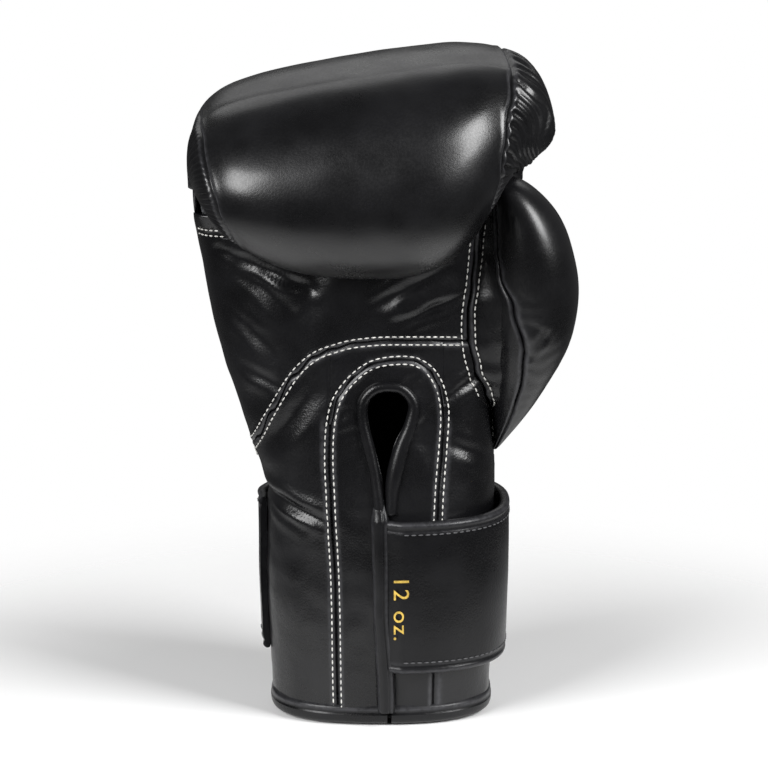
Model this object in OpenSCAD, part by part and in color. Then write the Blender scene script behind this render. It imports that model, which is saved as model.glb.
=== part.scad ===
// Right-hand boxing glove with a hook-and-loop wrist strap, standing on its cuff.
// Millimetres. +Z runs from the cuff to the knuckles, +Y is the back of the hand,
// and +X is the thumb side. The origin is the centre of the cuff's mouth.

/* [Cuff] */
// Half width of the cuff, pinky side to thumb side
cuff_half_w = 50; // [46:1:56]
// Half depth of the cuff, palm to back
cuff_half_d = 38; // [34:1:44]
// Height of the straight cuff
cuff_h = 100; // [96:1:125]
// Thickness of the cuff's padded wall
cuff_wall = 8; // [6:0.5:10]
// Height of the binding round the cuff's mouth
hem_h = 8; // [6:0.5:12]

/* [Fist] */
// Height of the axis that the fingers curl round
curl_z = 250; // [230:1:275]
// Distance of that axis in front of the cuff's centre
curl_y = 36; // [34:1:42]
// Radius of the padded roll, from the curl axis
roll_r = 51; // [46:1:58]
// Distance from the curl axis back to the knuckles
knuckle_reach = 92; // [86:1:100]
// Reach of the knuckles to the pinky side
fist_left = 83; // [76:1:90]
// Reach of the knuckles to the thumb side
fist_right = 75; // [70:1:82]
// Rise of the knuckle line towards the thumb side, per millimetre
knuckle_slope = 0.17; // [0:0.01:0.25]
// Thickness of the padding over the knuckles
fist_wall = 29; // [24:1:32]
// Thickness of the fist's padded sides
side_wall = 16; // [12:1:18]
// Thickness of the palm's wall
palm_wall = 8; // [6:0.5:10]

/* [Materials] */
// Thickness of the leather
skin_t = 1.5; // [1:0.1:2]
// Thickness of the lining
lining_t = 1.2; // [0.8:0.1:1.6]
// Radius of the grip bar's foam core
grip_r = 7.5; // [6:0.5:9]

/* [Wrist slit] */
// Distance of the slit from the cuff's centre
slit_x = 4; // [0:0.5:8]
// Width of the slit between its bound edges
slit_w = 1.6; // [1.2:0.2:3]
// Height of the round opening's centre, at the slit's top
eye_z = 142; // [136:1:150]
// Radius of the round opening
eye_r = 8.5; // [6:0.5:10]
// Width of the binding along the slit
piping_w = 4; // [3:0.5:6]
// Height that the binding stands proud of the leather
piping_proud = 1.6; // [1:0.1:2]

/* [Strap] */
// Height of the strap's lower edge
strap_z = 25; // [20:1:28]
// Width of the strap
strap_w = 70; // [50:1:72]
// Thickness of the strap
strap_t = 4; // [3:0.5:5]
// Gap between the cuff's leather and the strap
strap_gap = 2.4; // [2.2:0.1:3]
// Thickness of the hook and loop patches, each
patch_t = 1; // [0.8:0.1:1]
// Width of the binding along the strap's edges
strap_edge = 4; // [3:0.5:6]

/* [Thumb] */
// Distance of the thumb's axis from the cuff's centre
thumb_x = 67; // [65:1:72]
// Half width of the thumb
thumb_half_w = 19; // [16:0.5:19]
// Half depth of the thumb
thumb_half_d = 25; // [21:0.5:27]
// Height of the thumb's tip
thumb_top = 246; // [240:1:247]
// Thickness of the thumb's wall
thumb_wall = 7.5; // [6:0.5:9]
// Radius of the passage from the hand into the thumb
passage_r = 13; // [11:0.5:14]

/* [Hidden] */
fit_gap = 0.4;          // clearance between pieces that move past each other
thumb_gap = 1.2;        // clearance between the thumb and the hand
beyond = 200;           // farther out than any surface, for cutting shapes

// Form of the hand and the fist
core_r = 4;             // radius left inside the gathered ends of the fist
curl_end = 266;         // angle at which the roll tucks in against the palm
knuckle_left = fist_left - 1;
knuckle_right = fist_right - 9;
roll_taper = 5;         // how much thinner the roll is at its end
roll_in_left = 19;      // how far the roll's end draws in, each side
roll_in_right = 27;
slope_x = 40;           // where the knuckle line is at its full height
palm_hollow = 4;        // how far the palm lies behind the cuff's face
seam_rise = 45;         // height over which the side seams swing forward to the curl axis
side_n = 2.5;           // squareness of the cuff's section
hand_n = [3.2, 2.6];    // squareness at the curl axis, pinky side and thumb side
top_n = [6, 3];         // squareness of the knuckle line
end_n = [2.4, 2.1];     // squareness of the roll's end
foam_cuts = [0, 0.34, 0.67, 1];    // shares of the wall at which the foam sheets part

// Stations of the layered sheets, from the hem round to the roll's end
hand_rows = 8;
fist_rows = 14;
low_u = hem_h - curl_z;
wrist_u = cuff_h - curl_z;
arch = steps(0, 180, 16);
cuff_us = steps(low_u, wrist_u, 2);
hand_us = [for (i = [1:hand_rows]) mix(wrist_u, 0, i / hand_rows)];
palm_us = concat(cuff_us, [for (i = [0:hand_rows - 2]) hand_us[i]]);
fist_us = [for (i = [1:fist_rows]) curl_end * i / fist_rows];
back_us = concat(cuff_us, hand_us, fist_us);
pad_from = len(cuff_us);
cuff_pad_us = [for (i = [0:pad_from]) back_us[i]];
fist_pad_us = [for (i = [pad_from:len(back_us) - 1]) back_us[i]];
palm_top = curl_z - (curl_z - cuff_h) / hand_rows;

// Seams of the palm and the slit
arc_r = 57;             // radius of the seam across the palm
arc_z = 118;
facing_r = 24;          // half width of the facing sewn round the slit
facing_x = slit_x - 1;
facing_z = eye_z - 2;
web_x = 38;             // where the thumb's web meets the palm
slit_low = slit_x - slit_w / 2;
slit_high = slit_x + slit_w / 2;
flap_edge_w = 8;        // width of the binding along the flap's edge
flap_proud = strap_gap + strap_t - 1.2;
root_t = 2;             // thickness of the strap's sewn root
hem_proud = 1;

// Strap, by polar angles from the thumb side towards the back
band_step = 180 / 32;   // angle between the corners of the strap's and patches' bands
strap_top = strap_z + strap_w;
strap_out = strap_gap + strap_t;
strap_skin = 1.2;       // thickness of the strap's leather and of its lining
woven_t = 0.6;
front_from = at_x(slit_high + 2 * fit_gap);
front_edge = at_x(slit_high + 2 * fit_gap + strap_edge);
front_to = 359.6;
tail_from = 0.4;
tail_edge = 177;
tail_to = 183;
loop_span = [15, 28];   // patches and panel, in band steps
hook_span = [19, 27];
woven_span = [12, 20];

// Form of the thumb
thumb_root = 116;       // height of the thumb's lowest point
thumb_pull = 0.92;      // how far its narrow ends keep to the hand's side
thumb_y_low = -4;       // its axis leans forward from the root to the tip
thumb_y_high = -24;
thumb_n = 2.2;          // squareness of its section
thumb_cols = 18;
thumb_rows = 10;
passage_y = -8;
passage_z = 160;
tether_w = 8;
tether_t = 2.4;

leather_black = [0.05, 0.05, 0.055];
foam_grey = [0.45, 0.46, 0.48];
lining_black = [0.1, 0.1, 0.11];
binding_black = [0.08, 0.08, 0.08];

// ---- Curves ----------------------------------------------------------------

function clamp01(t) = max(0, min(1, t));
function ease(t) = let (c = clamp01(t)) c * c * (3 - 2 * c);
function mix(a, b, t) = a + (b - a) * t;
// The unit superellipse of squareness n, at a polar angle.
function unit_oval(a, n) = [cos(a), sin(a)] / pow(pow(abs(cos(a)), n) + pow(abs(sin(a)), n), 1 / n);

// A station u runs up the back of the hand and round the curl: below zero it is the
// distance under the curl axis, in millimetres, and above zero the angle round it, in degrees.
function station_z(u) = curl_z + u;
function hand_share(u) = clamp01((station_z(u) - cuff_h) / (curl_z - cuff_h));
function roll_share(u) = clamp01((u - 90) / (curl_end - 90));

function reach_left(u) = u < 0
    ? mix(cuff_half_w, knuckle_left, sin(90 * hand_share(u)))
    : mix(knuckle_left, fist_left, sin(min(u, 90))) - roll_in_left * pow(roll_share(u), 2);
function reach_right(u) = u < 0
    ? mix(cuff_half_w, knuckle_right, pow(hand_share(u), 3))
    : mix(knuckle_right, fist_right, sin(2 * min(u, 45)))
        - roll_in_right * (1 - pow(1 - roll_share(u), 2));
function reach_back(u) = u < 0
    ? curl_y + mix(cuff_half_d, knuckle_reach - curl_y, sin(90 * hand_share(u)))
    : u < 90 ? roll_r + (knuckle_reach - roll_r) * pow(cos(u), 2)
    : roll_r - roll_taper * pow(roll_share(u), 2);
function seam_reach(u) = u < 0 ? mix(curl_y, core_r, ease((station_z(u) - curl_z) / seam_rise + 1)) : core_r;
function palm_reach(u) = cuff_half_d - palm_hollow * sin(90 * min(1, 2.5 * hand_share(u)));
// Squareness of the section at station u, on the pinky side (0) or the thumb side (1).
function squareness(u, side) = u < 0 ? mix(side_n, hand_n[side], hand_share(u))
    : u < 90 ? mix(hand_n[side], top_n[side], sin(u))
    : mix(top_n[side], end_n[side], pow(roll_share(u), 0.7));

function back_wall(u) = mix(cuff_wall, fist_wall, ease((station_z(min(u, 0)) - cuff_h) / 90));
function edge_wall(u) = mix(cuff_wall, side_wall, ease((station_z(min(u, 0)) - cuff_h - 60) / 80));
function palm_side_wall(u) = mix(cuff_wall, palm_wall, hand_share(u));

// The knuckle line climbs towards the thumb side.
function lean(p) = [p[0], p[1],
    p[2] + knuckle_slope * (p[0] - slope_x) * ease((p[2] - curl_z + 35) / 90)];

// A point of the back and fist at station u and angle a from the thumb side (0) to the
// pinky side (180), a depth w under the sides and r under the back.
function back_point(u, a, w, r) = let (
        c = unit_oval(a, squareness(u, cos(a) > 0 ? 1 : 0)),
        x = ((cos(a) > 0 ? reach_right(u) : reach_left(u)) - w) * c[0],
        s = seam_reach(u),
        d = s + (reach_back(u) - r - s) * c[1]
    ) u < 0 ? lean([x, d - curl_y, station_z(u)])
            : lean([x, d * cos(u) - curl_y, curl_z + d * sin(u)]);

// The same for the palm's side of the hand.
function palm_point(u, a, w, r) = let (
        c = unit_oval(a, squareness(u, cos(a) > 0 ? 1 : 0)),
        x = ((cos(a) > 0 ? reach_right(u) : reach_left(u)) - w) * c[0],
        s = seam_reach(u) - curl_y
    ) lean([x, s - (palm_reach(u) - r + s) * c[1], station_z(u)]);

// ---- Layered sheets --------------------------------------------------------

// Layer marks: 0 is the outside, 1 the leather's inner face, 1 to 2 the foam from its outer
// face to its inner one, 3 the lining's inner face. Below 0 a mark is millimetres proud.
function depth(k, wall) = k <= 0 ? k
    : k <= 1 ? k * skin_t
    : k <= 2 ? mix(skin_t, wall - lining_t, k - 1)
    : wall - lining_t * (3 - k);
function steps(from, to, n) = [for (i = [0:n]) mix(from, to, i / n)];

function back_grid(k, us) = [for (u = us) [for (a = arch)
    back_point(u, a, depth(k, edge_wall(u)), depth(k, back_wall(u)))]];
function palm_grid(k, us) = [for (u = us) [for (a = arch)
    palm_point(u, a, depth(k, edge_wall(u)), depth(k, palm_side_wall(u)))]];

function pair(q, flip) = flip ? [[q[0], q[2], q[1]], [q[0], q[3], q[2]]]
                              : [[q[0], q[1], q[2]], [q[0], q[2], q[3]]];

// Closed sheet between two grids of points with the same rows and columns.
module sheet(outer, inner, flip = false) {
    rows = len(outer);
    cols = len(outer[0]);
    function at(i, j, side) = (side * rows + i) * cols + j;
    points = [for (grid = [outer, inner]) for (row = grid) for (p = row) p];
    faces = [
        for (i = [0:rows - 2]) for (j = [0:cols - 2]) for (side = [0, 1])
            each pair([at(i, j, side), at(i, j + 1, side), at(i + 1, j + 1, side),
                at(i + 1, j, side)], (side == 1) != flip),
        for (i = [0:rows - 2]) for (j = [0, cols - 1])
            each pair([at(i, j, 0), at(i + 1, j, 0), at(i + 1, j, 1), at(i, j, 1)],
                (j > 0) != flip),
        for (j = [0:cols - 2]) for (i = [0, rows - 1])
            each pair([at(i, j, 0), at(i, j + 1, 0), at(i, j + 1, 1), at(i, j, 1)],
                (i == 0) != flip)
    ];
    polyhedron(points, faces, convexity = 8);
}

// Closed tube between an outer and an inner column of rings; the last ring is a cap.
module capped(rings) {
    cols = len(rings[0]);
    last = len(rings) - 1;
    points = [for (ring = rings) each ring];
    faces = [
        [for (j = [0:cols - 1]) j],
        for (i = [0:last - 1]) for (j = [0:cols - 1]) let (n = (j + 1) % cols)
            each pair([i * cols + j, (i + 1) * cols + j, (i + 1) * cols + n, i * cols + n], false),
        [for (j = [cols - 1:-1:0]) last * cols + j]
    ];
    polyhedron(points, faces, convexity = 4);
}

// A sheet with pieces cut away comes back as one mesh.
module trimmed() resize([0, 0, 0]) difference() {
    children(0);
    children([1:$children - 1]);
}

module back_layer(k0, k1, us) sheet(back_grid(k0, us), back_grid(k1, us), true);
module palm_layer(k0, k1, us) sheet(palm_grid(k0, us), palm_grid(k1, us));

// ---- Outlines seen from the palm -------------------------------------------

// A flat outline of x and z, driven through the palm's side.
module through_palm() translate([0, beyond, 0]) rotate([90, 0, 0])
    linear_extrude(2 * beyond) children();
module whole_palm() translate([-beyond, -10]) square(2 * beyond);

module below_arc() {
    translate([facing_x, arc_z]) circle(arc_r, $fn = 64);
    translate([-beyond, 0]) square([2 * beyond, arc_z]);
}
module facing_outline(r) {
    translate([facing_x, facing_z]) circle(r, $fn = 48);
    translate([facing_x - r, -1]) square([2 * r, facing_z + 1]);
}
module slit_outline(extra = 0) {
    translate([slit_x, eye_z]) circle(eye_r + extra, $fn = 32);
    polygon([[slit_low - extra, -1], [slit_high + extra, -1], [slit_high + extra, eye_z - 20],
        [slit_x + (eye_r + extra) * 0.9, eye_z - 3], [slit_x - (eye_r + extra) * 0.9, eye_z - 3],
        [slit_low - extra, eye_z - 20]]);
}
module thumb_side() {
    polygon([[120, 108], [50, 108], [web_x + 8, 128], [web_x, 150], [web_x - 4, 172],
        [web_x - 3, 195], [web_x + 2, 260], [120, 260]]);
}
module half_plane(side) translate([side > 0 ? slit_x : slit_x - beyond, -2])
    square([beyond, 2 * beyond]);

// ---- Cuff outlines seen from above -----------------------------------------

function oval(high) = [for (i = [1:64]) oval_at(high, i * band_step)];
// Part of a band round the cuff, from one height over the leather to another.
function oval_at(high, a) = let (c = unit_oval(a, side_n))
    [(cuff_half_w + high) * c[0], (cuff_half_d + high) * c[1]];
module band(low, high, from, to) {
    angles = concat([from],
        [for (i = [0:128]) if (i * band_step > from && i * band_step < to) i * band_step], [to]);
    last = len(angles) - 1;
    polygon(concat([for (a = angles) oval_at(high, a)],
        [for (i = [last:-1:0]) oval_at(low, angles[i])]));
}

// ---- Thumb -----------------------------------------------------------------

function thumb_t(z) = (z - thumb_root) / (thumb_top - thumb_root);
function bud(t) = t < 0.58 ? sin(90 * max(0, t) / 0.58)
    : sqrt(max(0, 1 - pow((t - 0.58) / 0.42, 2)));
// One level section of the thumb, a depth w under its surface.
function thumb_ring(z, w) = let (
        b = bud(thumb_t(z)),
        hw = max(0.6, thumb_half_w * b - w),
        hd = max(0.8, thumb_half_d * pow(b, 0.8) - w),
        cx = thumb_x - thumb_half_w * (1 - b) * thumb_pull,
        cy = mix(thumb_y_low, thumb_y_high, thumb_t(z))
    ) [for (j = [0:thumb_cols - 1]) let (a = 360 * j / thumb_cols)
        [cx + hw * unit_oval(a, thumb_n)[0], cy + hd * unit_oval(a, thumb_n)[1], z]];
function thumb_rings(w) = let (low = thumb_root + w * 1.4 + 2, high = thumb_top - w)
    [for (i = [0:thumb_rows]) thumb_ring(mix(low, high, (1 - cos(180 * i / thumb_rows)) / 2), w)];
module thumb_solid(w) capped(thumb_rings(w));
module thumb_room() thumb_solid(-thumb_gap);
module thumb_cut() {
    thumb_room();
    translate([thumb_x - thumb_half_w + 2, -100, arc_z + 60])
        cube([60, 101, thumb_top + thumb_gap - arc_z - 60]);
    thumb_passage();
}
module beside_thumb() {
    thumb_room();
    translate([thumb_x - 14, -100, thumb_root + 10]) cube([60, 200, 140]);
}
module thumb_passage(grow = 0) translate([thumb_x - 40, passage_y, passage_z])
    rotate([0, 90, 0]) cylinder(h = 40, r = passage_r + grow, $fn = 24);
module thumb_half(side) translate([thumb_x - 2 - (side > 0 ? 0 : beyond), -beyond, 0])
    cube([beyond, 2 * beyond, 2 * beyond]);

// ---- Nodes: shell and panels -----------------------------------------------

module main_shell() color(leather_black) trimmed() {
    back_layer(0, 1, back_us);
    thumb_cut();
}
module upper_palm_panel() color(leather_black) trimmed() {
    palm_layer(0, 1, palm_us);
    through_palm() below_arc();
    through_palm() thumb_side();
    beside_thumb();
}
module thumb_web_panel() color(leather_black) trimmed() {
    palm_layer(0, 1, palm_us);
    through_palm() difference() {
        whole_palm();
        thumb_side();
    }
    beside_thumb();
    thumb_passage();
}
module wrist_panel(side) color(leather_black) trimmed() {
    palm_layer(0, 1, palm_us);
    through_palm() difference() {
        whole_palm();
        below_arc();
    }
    through_palm() thumb_side();
    through_palm() facing_outline(facing_r);
    through_palm() half_plane(-side);
    beside_thumb();
}
module pinky_wrist_panel() wrist_panel(-1);
module thumb_wrist_panel() wrist_panel(1);
module slit_facing() color(leather_black) trimmed() {
    palm_layer(0, 1, palm_us);
    through_palm() difference() {
        whole_palm();
        facing_outline(facing_r);
    }
    through_palm() slit_outline();
}

module pinky_gusset() color(leather_black) translate([0, 0.3 - curl_y, 0]) rotate([90, 0, 0])
    linear_extrude(skin_t, center = true) translate([-fist_left, palm_top]) polygon(
        [[5.5, -1], [25, -1], [20, -25]]);

// ---- Nodes: padding and linings --------------------------------------------

module knuckle_foam(i) color(foam_grey) trimmed() {
    back_layer(1 + foam_cuts[i], 1 + foam_cuts[i + 1], fist_pad_us);
    thumb_cut();
}
module knuckle_foam_outer() knuckle_foam(0);
module knuckle_foam_middle() knuckle_foam(1);
module knuckle_foam_inner() knuckle_foam(2);
module cuff_foam_back() color(foam_grey) back_layer(1, 2, cuff_pad_us);
module palm_foam() color(foam_grey) trimmed() {
    palm_layer(1, 2, palm_us);
    through_palm() translate([-beyond, -10]) square([2 * beyond, eye_z + 10]);
    through_palm() slit_outline();
    beside_thumb();
    thumb_passage();
}
module cuff_foam(side) color(foam_grey) trimmed() {
    palm_layer(1, 2, palm_us);
    through_palm() translate([-beyond, eye_z]) square([2 * beyond, beyond]);
    through_palm() slit_outline();
    through_palm() half_plane(-side);
    beside_thumb();
    thumb_passage();
}
module cuff_foam_pinky() cuff_foam(-1);
module cuff_foam_thumb() cuff_foam(1);
module back_lining() color(lining_black) trimmed() {
    back_layer(2, 3, back_us);
    thumb_cut();
}
module palm_lining() color(lining_black) trimmed() {
    palm_layer(2, 3, palm_us);
    through_palm() slit_outline();
    beside_thumb();
    thumb_passage();
}

// ---- Nodes: slit, hem and grip ---------------------------------------------

module slit_piping() color(binding_black) trimmed() {
    palm_layer(-piping_proud, 0, palm_us);
    through_palm() difference() {
        whole_palm();
        intersection() {
            slit_outline(piping_w);
            translate([-50, cuff_h + 1]) square(100);
        }
    }
    through_palm() slit_outline();
}
module flap_edge_binding() color(binding_black) {
    translate([0, 0, hem_h]) linear_extrude(strap_z - hem_h) flap_edge(0);
    translate([0, 0, strap_z]) linear_extrude(strap_w) flap_edge(root_t);
    translate([0, 0, strap_top]) linear_extrude(cuff_h - strap_top) flap_edge(0);
}
module flap_edge(low) band(low, flap_proud, at_x(slit_low - flap_edge_w), at_x(slit_low));
module strap_root_tab() color(leather_black) translate([0, 0, strap_z]) linear_extrude(strap_w)
    band(0, root_t, at_x(slit_low - flap_edge_w), at_x(slit_low));
module hem_binding() color(binding_black) linear_extrude(hem_h) difference() {
    polygon(oval(hem_proud));
    polygon(oval(-cuff_wall));
    translate([slit_low, -beyond]) square([slit_w, beyond]);
}

bar_a = lean([roll_in_left + side_wall + 5 - fist_left, -curl_y, curl_z]);
bar_b = lean([fist_right - roll_in_right - side_wall - 5, -curl_y, curl_z]);
module along_bar(inset = 0) translate(mix(bar_a, bar_b, 0.5))
    rotate([0, 90 - atan2(bar_b[2] - bar_a[2], bar_b[0] - bar_a[0]), 0])
        linear_extrude(norm(bar_b - bar_a) - 2 * inset, center = true) children();
module grip_bar() color(foam_grey) along_bar(lining_t) circle(grip_r);
module grip_bar_cover() color(lining_black) along_bar() difference() {
    circle(grip_r + lining_t);
    circle(grip_r);
}
module loop_patch() color(lining_black) translate([0, 0, strap_z + 6])
    linear_extrude(strap_w - 12) band(0, patch_t, loop_span[0] * band_step, loop_span[1] * band_step);

// ---- Nodes: strap ----------------------------------------------------------

module strap_slab(low, high, from, to) translate([0, 0, strap_z + strap_edge])
    linear_extrude(strap_w - 2 * strap_edge) band(low, high, from, to);
module strap_frame(from, to, edge_from, edge_to) {
    for (z = [strap_z, strap_top - strap_edge])
        translate([0, 0, z]) linear_extrude(strap_edge) band(strap_gap, strap_out, from, to);
    translate([0, 0, strap_z + strap_edge]) linear_extrude(strap_w - 2 * strap_edge)
        band(strap_gap, strap_out, edge_from, edge_to);
}
module front_strap_leather() color(leather_black)
    strap_slab(strap_out - strap_skin, strap_out, front_edge, front_to);
module front_strap_foam() color(foam_grey)
    strap_slab(strap_gap + strap_skin, strap_out - strap_skin, front_edge, front_to);
module front_strap_lining() color(lining_black)
    strap_slab(strap_gap, strap_gap + strap_skin, front_edge, front_to);
module front_strap_binding() color(binding_black)
    strap_frame(front_from, front_to, front_from, front_edge);
module tail_strap_leather() color(leather_black)
    strap_slab(strap_out - strap_skin, strap_out, tail_from, tail_edge);
module tail_strap_foam() color(foam_grey)
    strap_slab(strap_gap + strap_skin, strap_out - strap_skin, tail_from, tail_edge);
module tail_strap_lining() color(lining_black)
    strap_slab(strap_gap, strap_gap + strap_skin, tail_from, tail_edge);
module tail_strap_binding() color(binding_black)
    strap_frame(tail_from, tail_to, tail_edge, tail_to);
module hook_patch() color(lining_black) translate([0, 0, strap_z + 8])
    linear_extrude(strap_w - 16)
        band(strap_gap - patch_t, strap_gap, hook_span[0] * band_step, hook_span[1] * band_step);
module woven_panel() color([0.8, 0.7, 0.45]) translate([0, 0, strap_z + 9])
    linear_extrude(strap_w - 18)
        band(strap_out, strap_out + woven_t, woven_span[0] * band_step, woven_span[1] * band_step);

// The polar angle of the palm side's cuff at a distance across.
function at_x(x) = let (c = abs(x) / cuff_half_w)
    270 + sign(x) * atan2(c, pow(1 - pow(c, side_n), 1 / side_n));
// ---- Nodes: thumb ----------------------------------------------------------

module thumb_panel(side) color(leather_black) trimmed() {
    thumb_solid(0);
    thumb_solid(skin_t);
    thumb_passage();
    thumb_half(side);
}
module thumb_outer_panel() thumb_panel(-1);
module thumb_inner_panel() thumb_panel(1);
module thumb_foam() color(foam_grey) trimmed() {
    thumb_solid(skin_t);
    thumb_solid(thumb_wall - lining_t);
    thumb_passage();
}
module thumb_lining() color(lining_black) trimmed() {
    thumb_solid(thumb_wall - lining_t);
    thumb_solid(thumb_wall);
    thumb_passage();
}
module thumb_tether() color(leather_black)
    translate([thumb_x - 11, -curl_y - 12, thumb_top + thumb_gap + fit_gap])
        cube([tether_w, tether_w, tether_t]);

main_shell();
pinky_gusset();
upper_palm_panel();
pinky_wrist_panel();
thumb_wrist_panel();
thumb_web_panel();
slit_facing();
slit_piping();
flap_edge_binding();
hem_binding();
knuckle_foam_outer();
knuckle_foam_middle();
knuckle_foam_inner();
cuff_foam_back();
palm_foam();
cuff_foam_pinky();
cuff_foam_thumb();
back_lining();
palm_lining();
grip_bar();
grip_bar_cover();
loop_patch();
strap_root_tab();
thumb_tether();
front_strap_leather();
front_strap_foam();
front_strap_lining();
front_strap_binding();
tail_strap_leather();
tail_strap_foam();
tail_strap_lining();
tail_strap_binding();
hook_patch();
woven_panel();
thumb_outer_panel();
thumb_inner_panel();
thumb_foam();
thumb_lining();
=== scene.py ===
"""Builds the visible pieces of a right-hand boxing glove over its mechanical frame.

Sizes in the property groups are metres. The shape functions work in millimetres, because
leather work is measured that way, and every mesh is scaled once as it is made.
"""

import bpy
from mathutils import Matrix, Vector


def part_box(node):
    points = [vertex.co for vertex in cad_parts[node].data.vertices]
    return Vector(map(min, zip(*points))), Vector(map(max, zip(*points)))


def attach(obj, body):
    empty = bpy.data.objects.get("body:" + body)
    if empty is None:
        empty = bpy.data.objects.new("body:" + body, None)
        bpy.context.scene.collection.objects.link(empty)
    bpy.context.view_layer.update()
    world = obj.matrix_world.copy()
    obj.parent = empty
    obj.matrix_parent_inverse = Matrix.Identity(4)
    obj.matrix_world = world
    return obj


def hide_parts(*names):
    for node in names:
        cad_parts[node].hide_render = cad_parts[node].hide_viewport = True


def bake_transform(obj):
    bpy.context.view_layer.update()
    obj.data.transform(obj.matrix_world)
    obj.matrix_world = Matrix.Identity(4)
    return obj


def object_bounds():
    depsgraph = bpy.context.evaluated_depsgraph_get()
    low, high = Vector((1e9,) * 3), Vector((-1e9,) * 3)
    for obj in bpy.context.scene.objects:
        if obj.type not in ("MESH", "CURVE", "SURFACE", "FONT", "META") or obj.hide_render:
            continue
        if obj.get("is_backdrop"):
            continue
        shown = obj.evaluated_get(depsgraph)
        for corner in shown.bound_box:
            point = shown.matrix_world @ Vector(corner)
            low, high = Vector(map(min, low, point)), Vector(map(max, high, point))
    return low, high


bl_info = {
    "name": "Boxing Glove",
    "version": (1, 0, 0),
    "blender": (4, 5, 0),
    "location": "View3D > Sidebar > Glove",
    "description": "Padded leather boxing glove with a wrap strap",
    "category": "Add Mesh",
}

from math import atan2, cos, degrees, exp, hypot, pi, radians, sin, sqrt

import bmesh
import bpy
from bpy.props import FloatProperty, FloatVectorProperty, IntProperty, PointerProperty
from mathutils import Matrix, Vector, noise

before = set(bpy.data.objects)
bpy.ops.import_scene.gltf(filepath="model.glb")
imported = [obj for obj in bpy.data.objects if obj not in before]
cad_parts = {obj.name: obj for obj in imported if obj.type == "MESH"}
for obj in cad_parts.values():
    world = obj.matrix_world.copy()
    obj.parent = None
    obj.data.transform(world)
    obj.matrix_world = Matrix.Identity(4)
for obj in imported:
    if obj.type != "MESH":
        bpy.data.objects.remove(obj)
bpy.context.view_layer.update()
MM = 0.001


def size(name, default, description):
    return FloatProperty(
        name=name, description=description, default=default, unit="LENGTH", subtype="DISTANCE"
    )


def colour(name, default, description):
    return FloatVectorProperty(
        name=name, description=description, default=default, size=3, min=0, max=1,
        subtype="COLOR",
    )


class GloveSizes(bpy.types.PropertyGroup):
    """Sizes of the glove's padded form"""

    cuff_half_w: size("Cuff half width", 0.050, "Half width of the cuff")
    cuff_half_d: size("Cuff half depth", 0.038, "Half depth of the cuff")
    cuff_h: size("Cuff height", 0.100, "Height of the straight cuff")
    curl_z: size("Curl height", 0.250, "Height of the axis that the fingers curl round")
    curl_y: size("Curl offset", 0.036, "Distance of the curl axis in front of the cuff")
    roll_r: size("Roll radius", 0.051, "Radius of the padded roll")
    knuckle_reach: size("Knuckle reach", 0.092, "Curl axis to the knuckles")
    fist_left: size("Pinky reach", 0.083, "Reach of the knuckles to the pinky side")
    fist_right: size("Index reach", 0.075, "Reach of the knuckles to the thumb side")
    fist_wall: size("Knuckle padding", 0.029, "Thickness of the padding over the knuckles")
    wall: size("Cuff padding", 0.008, "Thickness of the cuff's padded wall")
    skin: size("Leather", 0.0014, "Thickness of the leather")
    slit_x: size("Slit position", 0.004, "Distance of the slit from the cuff's centre")
    eye_z: size("Slit top", 0.143, "Height of the slit's round opening")
    eye_r: size("Slit opening", 0.0065, "Radius of the slit's round opening")
    strap_gap: size("Strap gap", 0.0024, "Gap between the cuff and the strap")
    strap_t: size("Strap thickness", 0.004, "Thickness of the strap")
    thumb_x: size("Thumb position", 0.067, "Distance of the thumb's axis from the centre")
    thumb_half_w: size("Thumb half width", 0.0190, "Half width of the thumb")
    thumb_half_d: size("Thumb half depth", 0.025, "Half depth of the thumb")
    tip_lift: size("Thumb tip swell", 0.006, "Height the thumb's padding adds at its tip")
    bar_r: size("Grip bar radius", 0.0087, "Radius of the covered grip bar")
    stitch: size("Stitch length", 0.0030, "Length of one stitch with its gap")
    stitch_r: size("Thread radius", 0.00036, "Radius of the sewing thread")
    row_gap: size("Stitch row gap", 0.0036, "Distance between the two rows of a double seam")
    pleat_h: size("Pleat height", 0.0013, "Height of the gathers at the sides of the fist")
    pleats: IntProperty(
        name="Pleats", description="Gathers round one side of the fist", default=22, min=4
    )


class GloveLooks(bpy.types.PropertyGroup):
    """Colours of the glove and its stage"""

    leather: colour("Leather", (0.0042, 0.0042, 0.0048), "Black leather")
    # Lighter leather along seams and edges: rubbed wear, and a painted highlight of the edge.
    worn_and_highlight: colour("Edge wear and painted highlight", (0.055, 0.055, 0.060), "Leather where an edge is rubbed")
    thread: colour("Thread", (0.78, 0.77, 0.73), "Waxed white sewing thread")
    dark_thread: colour("Dark thread", (0.10, 0.10, 0.105), "Grey sewing thread")
    gilt: colour("Print", (0.74, 0.50, 0.10), "Gold print of the weight")
    lining: colour("Lining", (0.012, 0.012, 0.014), "Lining cloth")
    foam: colour("Foam", (0.20, 0.205, 0.215), "Padding")
    ground: colour("Ribbon ground", (0.72, 0.66, 0.46), "Cream ground of the woven panel")
    gold: colour("Ribbon gold", (0.55, 0.38, 0.12), "Gold figure of the woven panel")
    lilac: colour("Ribbon lilac", (0.42, 0.34, 0.50), "Lilac figure of the woven panel")
    floor: colour("Floor", (0.93, 0.93, 0.93), "Studio floor")


# ---- Curves and small helpers -----------------------------------------------


def clamp(t):
    return max(0.0, min(1.0, t))


def ease(t):
    t = clamp(t)
    return t * t * (3 - 2 * t)


def mix(a, b, t):
    return a + (b - a) * t


def power(v, e):
    return abs(v) ** e * (1 if v >= 0 else -1)


def bell(d, w):
    return exp(-(d * d) / (w * w))


def unit_oval(angle, n):
    """The unit superellipse of squareness n, at a polar angle in degrees."""
    c, s = cos(radians(angle)), sin(radians(angle))
    r = (abs(c) ** n + abs(s) ** n) ** (-1 / n)
    return c * r, s * r


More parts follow.
